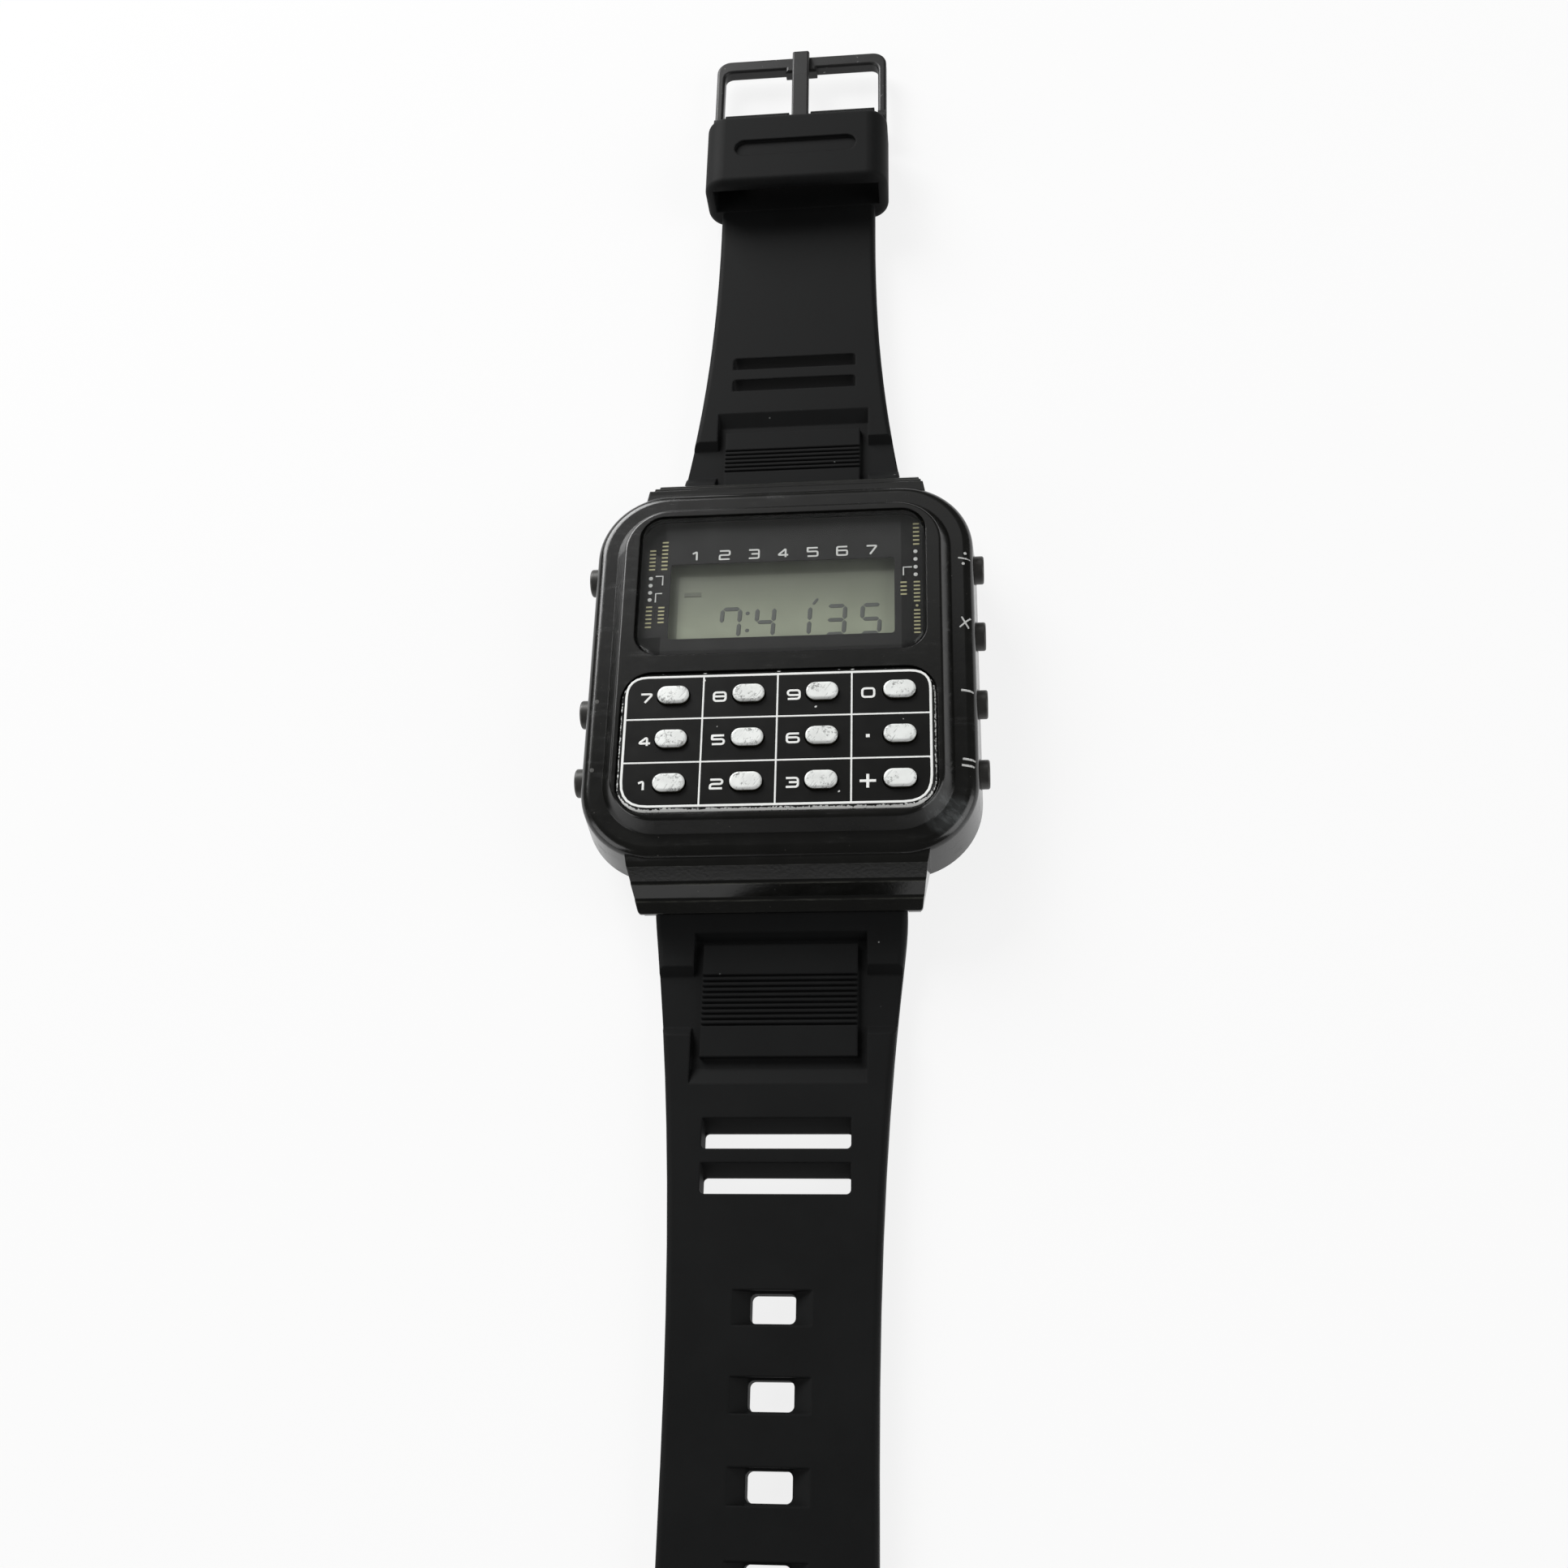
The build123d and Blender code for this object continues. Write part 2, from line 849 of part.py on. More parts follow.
def make_module_frame():
    """The frame round the display. It ends at the key mat."""
    high = ceiling_z - module_gap
    frame = module_plate(board_top, high) + module_tabs(tab_rows[:1], board_top, high)
    frame -= block(
        lcd_width + 2 * module_gap,
        lcd_length + 2 * module_gap,
        board_top - cut_overrun,
        high + cut_overrun,
        0.0,
        window_center_y,
    )
    open_y = mat_high_y + module_gap
    open_length = open_y + module_length
    frame -= block(
        cavity_width,
        open_length,
        board_top - cut_overrun,
        high + cut_overrun,
        0.0,
        open_y - open_length / 2,
    )
    frame -= lamp_room()
    return frame


def lamp_place():
    """The lamp stands beside the right edge of the display."""
    return lcd_width / 2 + module_gap + lamp_radius


def lamp_room():
    half_gap = lamp_radius + module_gap
    return block(
        2 * half_gap,
        lamp_length + 2 * module_gap,
        board_top - cut_overrun,
        ceiling_z + cut_overrun,
        lamp_place(),
        window_center_y,
    )


def make_lamp():
    z = board_top + lamp_radius
    half = lamp_length / 2 - lamp_radius
    glass = Pos(lamp_place(), window_center_y, z) * Rot(90, 0, 0) * Cylinder(lamp_radius, 2 * half)
    for side in (-half, half):
        glass += Pos(lamp_place(), window_center_y + side, z) * Sphere(lamp_radius)
    return glass


def make_lcd_glass():
    """Two glass plates as one cell, with the thinner polariser on top."""
    top = lcd_z + lcd_thickness
    step = lcd_thickness / 2
    lower = block(lcd_width, lcd_length, lcd_z, lcd_z + step, 0.0, window_center_y)
    upper = block(
        lcd_width,
        lcd_length - 2 * polarizer_margin,
        lcd_z + step,
        top,
        0.0,
        window_center_y,
    )
    return lower + upper


def make_lcd_reflector():
    return block(
        lcd_width - 2 * polarizer_margin,
        lcd_length - 2 * zebra_width - 2 * polarizer_margin,
        lcd_z - reflector_thickness,
        lcd_z,
        0.0,
        window_center_y,
    )


def make_zebra_strips():
    reach = lcd_length / 2 - zebra_width / 2
    strips = []
    for side in (-reach, reach):
        strips.append(
            block(
                lcd_width - 2 * polarizer_margin,
                zebra_width,
                board_top,
                lcd_z,
                0.0,
                window_center_y + side,
            )
        )
    return group(strips)


def make_circuit_board():
    return module_plate(board_z, board_top)


def make_chip():
    y = component_half_y - chip_size / 2
    chip = block(chip_size, chip_size, board_z - chip_height, board_z, 0.0, y)
    return fillet(chip.edges().filter_by(Axis.Z), chip_height / 2)


def make_crystal_can():
    y = module_length * crystal_can_row_share
    z = board_z - crystal_can_radius
    end_x = crystal_can_length - component_half_x
    return shaft(crystal_can_radius, -component_half_x, end_x, y, z)


def make_trimmer():
    x = component_half_x - trimmer_radius
    y = component_half_y - trimmer_radius
    low = board_z - trimmer_height
    trimmer = post(trimmer_radius, low, board_z, x, y)
    trimmer -= block(
        2 * trimmer_radius - 2 * trimmer_slot,
        trimmer_slot,
        low - cut_overrun,
        low + trimmer_slot,
        x,
        y,
    )
    return trimmer


def make_battery_holder():
    holder = module_plate(holder_z, holder_top) + module_tabs(tab_rows, holder_z, holder_top)
    holder -= post(
        battery_radius + battery_gap,
        holder_z - cut_overrun,
        holder_pocket_top,
        0.0,
        0.0,
    )
    holder -= plate(
        module_width - 2 * holder_wall,
        module_length - 2 * holder_wall,
        module_corner_radius - holder_wall / 2,
        holder_pocket_top + holder_floor,
        holder_top + cut_overrun,
    )
    return holder


def make_battery():
    can = post(
        battery_radius,
        holder_z,
        holder_z + battery_thickness - battery_cap_height,
        0.0,
        0.0,
    )
    can += post(
        battery_radius - battery_cap_step,
        holder_z,
        holder_z + battery_thickness,
        0.0,
        0.0,
    )
    return can


def make_battery_clamp():
    return stadium(
        2 * (battery_radius + clamp_reach),
        clamp_width,
        holder_z - clamp_thickness,
        holder_z,
        0.0,
        0.0,
    )


# Case back

def make_case_back():
    back = plate(back_width, back_length, back_corner_radius, 0.0, back_thickness)
    back = fillet(back.faces().sort_by(Axis.Z)[0].edges(), back_edge_radius)
    for x, y in screw_places():
        back -= post(
            screw_shank_radius + slip_clearance,
            -cut_overrun,
            back_thickness + cut_overrun,
            x,
            y,
        )
        back -= post(
            screw_head_radius + slip_clearance,
            -cut_overrun,
            screw_head_recess + screw_head_height,
            x,
            y,
        )
    return back


def make_screws():
    screws = []
    for x, y in screw_places():
        head_top = screw_head_recess + screw_head_height
        screw = post(screw_head_radius, screw_head_recess, head_top, x, y)
        screw += post(screw_shank_radius, head_top, screw_depth - slip_clearance, x, y)
        screw -= block(
            2 * screw_head_radius + cut_overrun,
            screw_slot_width,
            -cut_overrun,
            screw_head_recess + screw_slot_depth,
            x,
            y,
        )
        screws.append(screw)
    return group(screws)


# Spring bar at the 12 o'clock end

def make_spring_bar():
    half = strap_slot_width / 2 - slip_clearance
    tip_half = half + bar_tip_length
    bar = shaft(bar_radius, -half, half, bar_y, bar_z)
    bar += shaft(bar_tip_radius, -tip_half, tip_half, bar_y, bar_z)
    for side in (-1, 1):
        outer = half - bar_collar_inset
        ends = sorted((side * outer, side * (outer - bar_collar_length)))
        bar += shaft(bar_collar_radius, ends[0], ends[1], bar_y, bar_z)
    return bar


# Strap halves, both modelled at the 12 o'clock end

def strap_outline(root_width, tail_width, taper_start, taper_end, end_y):
    """The strap seen from above: straight root, curved taper, straight tail."""
    root = root_width / 2
    tail = tail_width / 2
    start_y = bar_y - strap_eye_radius
    taper_run = taper_end - taper_start
    ease_y, bend_y = [taper_start + taper_run * share for share in strap_taper_shares]
    right = [
        Line((root, start_y), (root, taper_start)),
        Bezier((root, taper_start), (root, ease_y), (tail, bend_y), (tail, taper_end)),
        Line((tail, taper_end), (tail, end_y)),
    ]
    left = [mirror(edge, about=Plane.YZ) for edge in right]
    start = Line((-root, start_y), (root, start_y))
    end = Line((-tail, end_y), (tail, end_y))
    return make_face(right + left + [start, end])


def strap_side(end_y):
    """The strap seen from the side: the eye round the spring bar, then down to the table."""
    eye_top = bar_z + strap_eye_radius
    eye_bottom = bar_z - strap_eye_radius
    top = Spline(
        (bar_y, eye_top),
        (bar_y + strap_root_reach, strap_root_top),
        (strap_flat_start, strap_thickness),
        tangents=((1, 0), (1, 0)),
    )
    bottom = Spline((bar_y, eye_bottom), (strap_flat_start, 0), tangents=((1, 0), (1, 0)))
    outline = [
        top,
        Line((strap_flat_start, strap_thickness), (end_y, strap_thickness)),
        Line((end_y, strap_thickness), (end_y, 0)),
        Line((end_y, 0), (strap_flat_start, 0)),
        bottom,
        Line((bar_y, eye_bottom), (bar_y, eye_top)),
    ]
    return Plane.YZ * make_face(outline)


def strap_blank(outline, end_y):
    """The plain strap: its outline from above cut by its outline from the side."""
    half = strap_slot_width
    side = extrude(strap_side(end_y), amount=half, both=True)
    side += shaft(strap_eye_radius, -half, half, bar_y, bar_z)
    rise = bar_z + strap_eye_radius + cut_overrun
    above = extrude(outline, amount=rise)
    return side & above


def round_strap_edges(strap):
    """Rounds the long upper edges of a strap half, outside the hood."""
    edges = [
        edge
        for edge in strap.edges()
        if edge.center().Y > hood_end
        and edge.center().Z > strap_thickness - slip_clearance
        and edge.length > strap_edge_radius
    ]
    return fillet(edges, strap_edge_radius)


def strap_panel(island_reach, island_length, link_length, rib_count):
    """What is cut from a strap for its sunk panel, its link notches and its ribs."""
    top = strap_thickness
    floor = top - panel_depth
    island_start = bar_y + island_reach
    island_end = island_start + island_length
    island_middle = (island_start + island_end) / 2
    high = top + cut_overrun
    sunk_start = island_start - island_frame
    sunk_end = island_end + island_frame_far
    over_share = cut_overrun / panel_depth
    sunk = side_slab(
        [
            (sunk_start, floor),
            (sunk_end, floor),
            (sunk_end + panel_slope * (1 + over_share), high),
            (sunk_start - panel_slope * over_share / 2, high),
        ],
        2 * panel_half_width,
    )
    link_low = island_middle - link_length / 2
    link_high = island_middle + link_length / 2
    rise_run = link_slope * (1 + over_share)
    sunk += side_slab(
        [
            (link_low, floor),
            (link_high, floor),
            (link_high + rise_run, high),
            (link_low - rise_run, high),
        ],
        strap_slot_width,
    )
    island_top = top - island_proud_drop
    island = block(
        island_width, island_length, floor - cut_overrun, island_top, 0.0, island_middle
    )
    for rib in range(rib_count):
        y = island_middle + (rib - (rib_count - 1) / 2) * rib_pitch
        island -= block(
            island_width + cut_overrun,
            rib_groove,
            island_top - rib_depth,
            island_top + cut_overrun,
            0.0,
            y,
        )
    return sunk - island


def strap_slot(start, width):
    """What is cut for one slot: a ramp down from the case's side, then a way right through."""
    high = strap_thickness + cut_overrun
    ramp_run = width * slot_ramp_share
    over_share = cut_overrun / (strap_thickness - slot_sill)
    foot = start + ramp_run
    end = start + width
    ramp = side_slab(
        [
            (foot, slot_sill),
            (foot + slot_corner_radius, slot_sill),
            (foot + slot_corner_radius, high),
            (start - ramp_run * over_share, high),
        ],
        slot_length,
    )
    way = plate(slot_length, end - foot, slot_corner_radius, -cut_overrun, high, (foot + end) / 2)
    return ramp + way


def strap_bore(half_width):
    return shaft(bar_collar_radius + slip_clearance, -half_width, half_width, bar_y, bar_z)


def make_strap_hole_side():
    root_width = strap_slot_width - 2 * strap_side_gap
    outline = strap_outline(
        root_width,
        hole_side_tail_width,
        hood_end,
        bar_y + hole_side_taper_reach,
        hole_side_tip,
    )
    strap = strap_blank(outline, hole_side_tip)
    corners = strap.edges().filter_by(Axis.Z).group_by(Axis.Y)[-1]
    strap = round_strap_edges(fillet(corners, tip_radius))
    strap -= strap_panel(
        hole_side_island_reach, hole_side_island_length, hole_side_link_length, hole_side_rib_count
    )
    slot_start = bar_y + hole_side_slot_reach
    for start in (slot_start, slot_start + hole_side_slot_pitch):
        strap -= strap_slot(start, hole_side_slot_width)
    top = strap_thickness
    over_share = 1 + cut_overrun / funnel_depth
    slope = (funnel_length - hole_length) / 2
    for place in range(hole_count):
        y = bar_y + hole_first_reach + place * hole_pitch
        strap -= plate(
            hole_length,
            hole_width,
            hole_corner_radius,
            -cut_overrun,
            top + cut_overrun,
            y,
        )
        funnel_floor = top - funnel_depth
        funnel_face = make_face(
            Polyline(
                (-hole_length / 2, funnel_floor),
                (hole_length / 2, funnel_floor),
                (hole_length / 2 + slope * over_share, top + cut_overrun),
                (-hole_length / 2 - slope * over_share, top + cut_overrun),
                close=True,
            )
        )
        funnel = extrude(Plane.XZ * funnel_face, amount=funnel_width / 2, both=True)
        strap -= Pos(0, y, 0) * funnel
    strap -= strap_bore(strap_slot_width)
    return to_lower(strap)


def keeper():
    """The loop moulded on the strap, which holds the free end of the other half."""
    middle_z = keeper_top / 2
    section = RectangleRounded(keeper_width, keeper_top, keeper_corner_radius)
    loop = Pos(0, keeper_end, middle_z) * Rot(90, 0, 0) * extrude(section, amount=keeper_length)
    ends = loop.faces().sort_by(Axis.Y)
    return fillet(ends[0].edges() + ends[-1].edges(), keeper_rim_radius)


def keeper_room():
    """The way through the keeper, and the long dent in its roof."""
    low = strap_thickness + keeper_floor_gap
    high = keeper_top - keeper_roof
    room = block(
        hole_side_tail_width + 2 * keeper_side_gap,
        keeper_length + 2 * cut_overrun,
        low,
        high,
        0.0,
        keeper_middle_y,
    )
    room += stadium(
        keeper_groove_length,
        keeper_groove_width,
        keeper_top - keeper_groove_depth,
        keeper_top + cut_overrun,
        0.0,
        keeper_middle_y,
    )
    return room


def make_strap_buckle_side():
    root_width = strap_slot_width - 2 * strap_side_gap
    outline = strap_outline(
        root_width, buckle_side_tail_width, bar_y, bar_y + buckle_side_taper_reach, pin_y
    )
    strap = round_strap_edges(strap_blank(outline, pin_y))
    strap -= strap_panel(
        buckle_side_island_reach,
        buckle_side_island_length,
        buckle_side_link_length,
        buckle_side_rib_count,
    )
    slot_start = bar_y + buckle_side_slot_reach
    for start in (slot_start, slot_start + buckle_side_slot_pitch):
        strap -= strap_slot(start, buckle_side_slot_width)
    half = buckle_side_tail_width / 2
    strap += shaft(pin_eye_radius, -half, half, pin_y, pin_z)
    strap -= block(
        tongue_slot_width,
        tongue_slot_reach + pin_eye_radius + cut_overrun,
        -cut_overrun,
        keeper_top,
        0.0,
        pin_y + (pin_eye_radius + cut_overrun - tongue_slot_reach) / 2,
    )
    strap += keeper()
    strap -= keeper_room()
    strap -= strap_bore(strap_slot_width)
    strap -= shaft(pin_radius + slip_clearance, -half, half, pin_y, pin_z)
    return strap


# Buckle

def make_buckle_frame():
    inner = buckle_inner_width / 2
    far = buckle_far_inner + buckle_bar_width
    low = pin_z - buckle_thickness / 2
    high = pin_z + buckle_thickness / 2
    length = far - pin_y
    frame = plate(
        buckle_width, 2 * length, buckle_corner_radius, low, high, pin_y
    )
    frame -= block(
        buckle_width + cut_overrun,
        length + cut_overrun,
        low - cut_overrun,
        high + cut_overrun,
        0.0,
        pin_y - (length + cut_overrun) / 2,
    )
    opening_length = 2 * (buckle_far_inner - pin_y)
    frame -= plate(
        2 * inner,
        opening_length,
        buckle_inner_radius,
        low - cut_overrun,
        high + cut_overrun,
        pin_y,
    )
    rest_y = buckle_far_inner + (buckle_bar_width / 2 - buckle_rest_reach) / 2
    frame += block(
        buckle_rest_width,
        buckle_bar_width / 2 + buckle_rest_reach,
        low,
        high,
        0.0,
        rest_y,
    )
    rims = [
        edge
        for edge in frame.edges()
        if edge.center().Y > pin_y + buckle_knuckle_radius
        and abs(abs(edge.center().Z - pin_z) - buckle_thickness / 2) < slip_clearance
    ]
    frame = fillet(rims, buckle_edge_radius)
    for side in (-1, 1):
        ends = sorted((side * inner, side * buckle_width / 2))
        frame += shaft(buckle_knuckle_radius, ends[0], ends[1], pin_y, pin_z)
        frame -= shaft(pin_radius + glue_gap, ends[0], ends[1], pin_y, pin_z)
    return frame


def make_buckle_bar():
    half = buckle_width / 2
    return shaft(pin_radius, -half, half, pin_y, pin_z)


def make_buckle_tongue():
    """An eye round the bar and a blade that rests on the far side of the frame."""
    tip_y = buckle_far_inner + buckle_bar_width + tongue_overhang
    rest_z = pin_z + buckle_thickness / 2 + tongue_gap
    rest_start = buckle_far_inner - buckle_rest_reach - tongue_thickness
    eye_top = pin_z + tongue_eye_radius
    blade = side_slab(
        [
            (pin_y, eye_top - tongue_thickness),
            (rest_start, rest_z),
            (tip_y, rest_z),
            (tip_y, rest_z + tongue_thickness / 2),
            (tip_y - tongue_thickness / 2, rest_z + tongue_thickness),
            (rest_start - tongue_thickness / 2, rest_z + tongue_thickness),
            (pin_y, eye_top),
        ],
        tongue_width,
    )
    half = tongue_width / 2
    rims = [
        edge
        for edge in blade.edges()
        if edge.center().Y > pin_y + tongue_eye_radius
        and abs(abs(edge.center().X) - half) < slip_clearance
    ]
    blade = fillet(rims, tongue_edge_radius)
    blade += shaft(tongue_eye_radius, -half, half, pin_y, pin_z)
    bore = pin_radius + slip_clearance
    return blade - shaft(bore, -half - cut_overrun, half + cut_overrun, pin_y, pin_z)


# All nodes

def make_nodes():
    nodes = {
        "case_body": make_case_body(),
        "display_crystal": make_crystal(),
        "crystal_mask": make_mask(),
        "crystal_seal": make_crystal_seal(),
        "keypad_panel": make_keypad_panel(),
        "key_mat": make_key_mat(),
        "lcd_glass": make_lcd_glass(),
        "lcd_reflector": make_lcd_reflector(),
        "zebra_strips": make_zebra_strips(),
        "module_frame": make_module_frame(),
        "lamp": make_lamp(),
        "circuit_board": make_circuit_board(),
        "ic_chip": make_chip(),
        "quartz_crystal": make_crystal_can(),
        "trimmer_capacitor": make_trimmer(),
        "battery_holder": make_battery_holder(),
        "battery": make_battery(),
        "battery_clamp": make_battery_clamp(),
        "case_gasket": gasket_ring(body_bottom, body_bottom + gasket_height - glue_gap),
        "case_back": make_case_back(),
        "case_back_screws": make_screws(),
        "spring_bar_upper": make_spring_bar(),
        "spring_bar_lower": to_lower(make_spring_bar()),
        "strap_buckle_side": make_strap_buckle_side(),
        "strap_hole_side": make_strap_hole_side(),
        "buckle_frame": make_buckle_frame(),
        "buckle_bar": make_buckle_bar(),
        "buckle_tongue": make_buckle_tongue(),
    }
    for y, names in zip(key_rows, key_names):
        for x, name in zip(key_columns, names):
            nodes[name] = make_key(x, y)
    contacts = []
    seals = []
    for number, row in enumerate(pusher_rows_right, start=1):
        nodes[f"pusher_right_{number}"] = group(make_pusher(row))
        nodes[f"spring_right_{number}"] = make_pusher_spring(row)
        contacts.append(make_contact(row))
        seals.append(make_pusher_seal(row))
    for number, row in enumerate(pusher_rows_left, start=1):
        nodes[f"pusher_left_{number}"] = group(to_left(solid) for solid in make_pusher(row))
        nodes[f"spring_left_{number}"] = to_left(make_pusher_spring(row))
        contacts.append(to_left(make_contact(row)))
        seals.append(to_left(make_pusher_seal(row)))
    nodes["button_contacts"] = group(contacts)
    nodes["pusher_seals"] = group(seals)
    return nodes


os.makedirs("parts", exist_ok=True)
for node_name, shape in make_nodes().items():
    export_step(shape, f"parts/{node_name}.step")
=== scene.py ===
import json
from functools import reduce
from math import cos, pi, sin
from types import SimpleNamespace

import bpy
import bmesh
from bpy.props import BoolProperty, FloatProperty, FloatVectorProperty, PointerProperty
from mathutils import Matrix, Vector


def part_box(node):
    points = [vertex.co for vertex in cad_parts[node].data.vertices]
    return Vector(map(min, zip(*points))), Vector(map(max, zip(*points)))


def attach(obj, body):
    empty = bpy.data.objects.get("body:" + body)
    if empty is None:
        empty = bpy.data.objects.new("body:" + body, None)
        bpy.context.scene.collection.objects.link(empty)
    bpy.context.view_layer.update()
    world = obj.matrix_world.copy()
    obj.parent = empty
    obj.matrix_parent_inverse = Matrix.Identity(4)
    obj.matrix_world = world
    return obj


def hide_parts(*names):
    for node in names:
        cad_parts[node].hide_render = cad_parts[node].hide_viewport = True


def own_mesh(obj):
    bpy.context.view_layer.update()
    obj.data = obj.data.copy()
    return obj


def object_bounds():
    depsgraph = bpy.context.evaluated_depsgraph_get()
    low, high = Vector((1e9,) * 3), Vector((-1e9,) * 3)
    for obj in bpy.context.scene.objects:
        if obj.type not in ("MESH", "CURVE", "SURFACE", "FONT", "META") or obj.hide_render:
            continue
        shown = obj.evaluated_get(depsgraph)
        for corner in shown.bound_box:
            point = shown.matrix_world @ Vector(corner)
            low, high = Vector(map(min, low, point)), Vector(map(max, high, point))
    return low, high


bl_info = {
    "name": "Calculator Watch",
    "version": (1, 0, 0),
    "blender": (4, 5, 0),
    "location": "View3D > Sidebar > Watch",
    "description": "Finishes, printing and studio for a calculator watch",
    "category": "Object",
}

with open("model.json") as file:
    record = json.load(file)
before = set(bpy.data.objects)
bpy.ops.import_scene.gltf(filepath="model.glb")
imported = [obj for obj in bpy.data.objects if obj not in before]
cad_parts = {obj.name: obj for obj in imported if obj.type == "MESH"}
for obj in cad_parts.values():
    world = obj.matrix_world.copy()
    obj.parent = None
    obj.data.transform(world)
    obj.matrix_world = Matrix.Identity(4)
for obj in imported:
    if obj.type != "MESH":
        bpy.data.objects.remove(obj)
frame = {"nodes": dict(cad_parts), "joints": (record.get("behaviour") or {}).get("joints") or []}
CAD_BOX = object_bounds()
MM = 0.001

KEYS = [f"key_{number}" for number in range(10)] + ["key_point", "key_plus"]
PUSHERS = [f"pusher_right_{n}" for n in range(1, 5)] + [f"pusher_left_{n}" for n in range(1, 4)]
SPRINGS = [f"spring_right_{n}" for n in range(1, 5)] + [f"spring_left_{n}" for n in range(1, 4)]

# Places in the frame, in millimetres. Those of the printing are where the photograph shows it.

# on the mask: a row of numerals above the window, and dots, hooks and rows of ticks beside it
NUMERAL_ROW = [(-8.34 + 2.81 * number, 11.56) for number in range(7)]
NUMERAL_EASE = 0.16
SIDE_DOTS = [(-12.55, y) for y in (9.22, 8.45, 7.66, 6.88)]
SIDE_DOTS += [(12.65, y) for y in (11.22, 10.38, 9.53, 8.7)]
SIDE_DOT_RADIUS = 0.2
HOOK_STROKE = 0.13
SIDE_HOOKS = (
    ((-12.1, 9.45), (-11.4, 9.45), (-11.4, 8.45)),
    ((-11.4, 7.55), (-12.0, 7.55), (-12.0, 6.6)),
    ((11.5, 8.65), (11.5, 9.53), (12.3, 9.53)),
)
# each row's middle across, then its lower and its upper end
TICK_ROWS = (
    (-12.5, 10.0, 12.5), (-12.56, 3.7, 6.3), (-11.32, 10.0, 13.4), (-11.38, 4.2, 6.2),
    (12.72, 11.8, 14.5), (12.74, 5.65, 8.1), (12.74, 2.3, 5.05), (11.51, 6.4, 8.1),
)
TICK_DOT, TICK_DOT_RADIUS = (12.74, 5.35), 0.13

# in the display: each digit's left and right stroke and the segments that are dark
DIGITS = (
    (-5.78, -4.1, "afbc"), (-2.45, -0.85, "fgbc"), (0.9, 2.55, "bc"), (4.2, 5.85, "abgcd"),
    (7.5, 9.15, "afgcd"),
)
DIGIT_BASE = 3.1
DIGIT_LEAN = 0.05
COLON, COLON_RADIUS = ((-3.25, 3.75), (-3.25, 5.6)), 0.2
SECONDS_MARK, SECONDS_STROKE = ((2.92, 6.3), (3.42, 7.0)), 0.28
FLAG, FLAG_STROKE = ((-9.4, 7.8), (-7.75, 7.8)), 0.5
# the inner edges of the mask's shadow painted on the display, across and up
MASK_SHADOW_LEFT, MASK_SHADOW_TOP = -9.95, 9.75

# on the keypad plate: its grid, and each key's numeral
GRID_COLUMNS = (-6.78, 0.03, 6.78)
GRID_ROWS = (-6.35, -10.7)
LABEL_COLUMNS = (-12.0, -5.26, 1.52, 8.28)
LABEL_ROWS = ((-4.2, "7890"), (-8.56, "456"), (-12.93, "123"))
LABEL_EASE = 0.28
PLUS_MIDDLE, PLUS_SIZE, PLUS_STROKE_SHARE = (8.25, -12.93), (1.45, 1.32), 1.25
POINT, POINT_STROKE = ((8.07, -8.52), (8.41, -8.52)), 0.34
# the frame line's corner radii, anticlockwise from the lower left one, and the plate's own
FRAME_RADII = [2.5, 2.5, 1.9, 1.9]
PLATE_RADIUS = 2.7

# on the shelf beside the right pushers: a sign's name, middle, size and share of the stroke
SHELF_SIGNS = (
    ("times", (17.15, 3.6), (0.85, 1.1), 1.0),
    ("minus", (17.2, -3.5), (1.15, 1.0), 1.35),
    ("equals", (17.15, -10.7), (1.15, 0.62), 1.35),
)
DIVIDE_BAR, DIVIDE_BAR_SIZE = (17.2, 10.5), (1.15, 1.0)
DIVIDE_DOTS, DIVIDE_DOT_RADIUS = ((17.3, 11.05), (17.1, 9.95)), 0.15
SHELF_SIGN_TURN = -0.18
LEFT_SHELF_DOTS, LEFT_SHELF_DOT_RADIUS = ((-17.0, -3.6), (-17.0, -10.6)), 0.22

# along Y from the middle: just past where the hoods start, and the edges of their steps
HOOD_START = 19.2
HOOD_EDGES = (19.79, 21.03, 22.14)
# above the table: just under the top of the hoods, and the lower edge of the shelf's rounding
HOOD_TOP = 7.9
SHELF_EDGE = 7.6
# a painted highlight on the shelf's lower right corner: its middle, and how far it reaches from
# there
CORNER_HIGHLIGHT_MIDDLE, CORNER_HIGHLIGHT_REACH = (15.3, -15.6), (2.6, 2.2)
# along Y from the middle: where the specks on the strap start to thin out, and over how far
SPECKS_START, SPECKS_FADE = 25.0, 14.0

# Colours of wear, of painted highlights and shade, and of plain pieces

DUST = (0.3, 0.29, 0.26, 1.0)
CORNER_HIGHLIGHT_COLOUR = (0.14, 0.15, 0.152, 1.0)
HOOD_HIGHLIGHT_COLOUR = (0.07, 0.072, 0.062, 1.0)
PALE_SPECK = (0.32, 0.33, 0.33, 1.0)
KEY_FLANK_SHADE = (0.022, 0.02, 0.014, 1.0)
COPPER_UNDER_LACQUER = (0.28, 0.17, 0.05, 1.0)
BARE_PLATE = (0.9, 0.91, 0.89)
RUBBER = (0.02, 0.02, 0.02)
STEEL = (0.5, 0.5, 0.5)
# how bright the display's flag is beside its background, and the shelf's ink beside the white
FLAG_SHARE, SHELF_INK_SHARE = 0.38, 0.62

# The studio. The camera's place, in millimetres, and its axes are those that the photograph's
# perspective gives. Each softbox has its place and size in metres, and its share of the power.

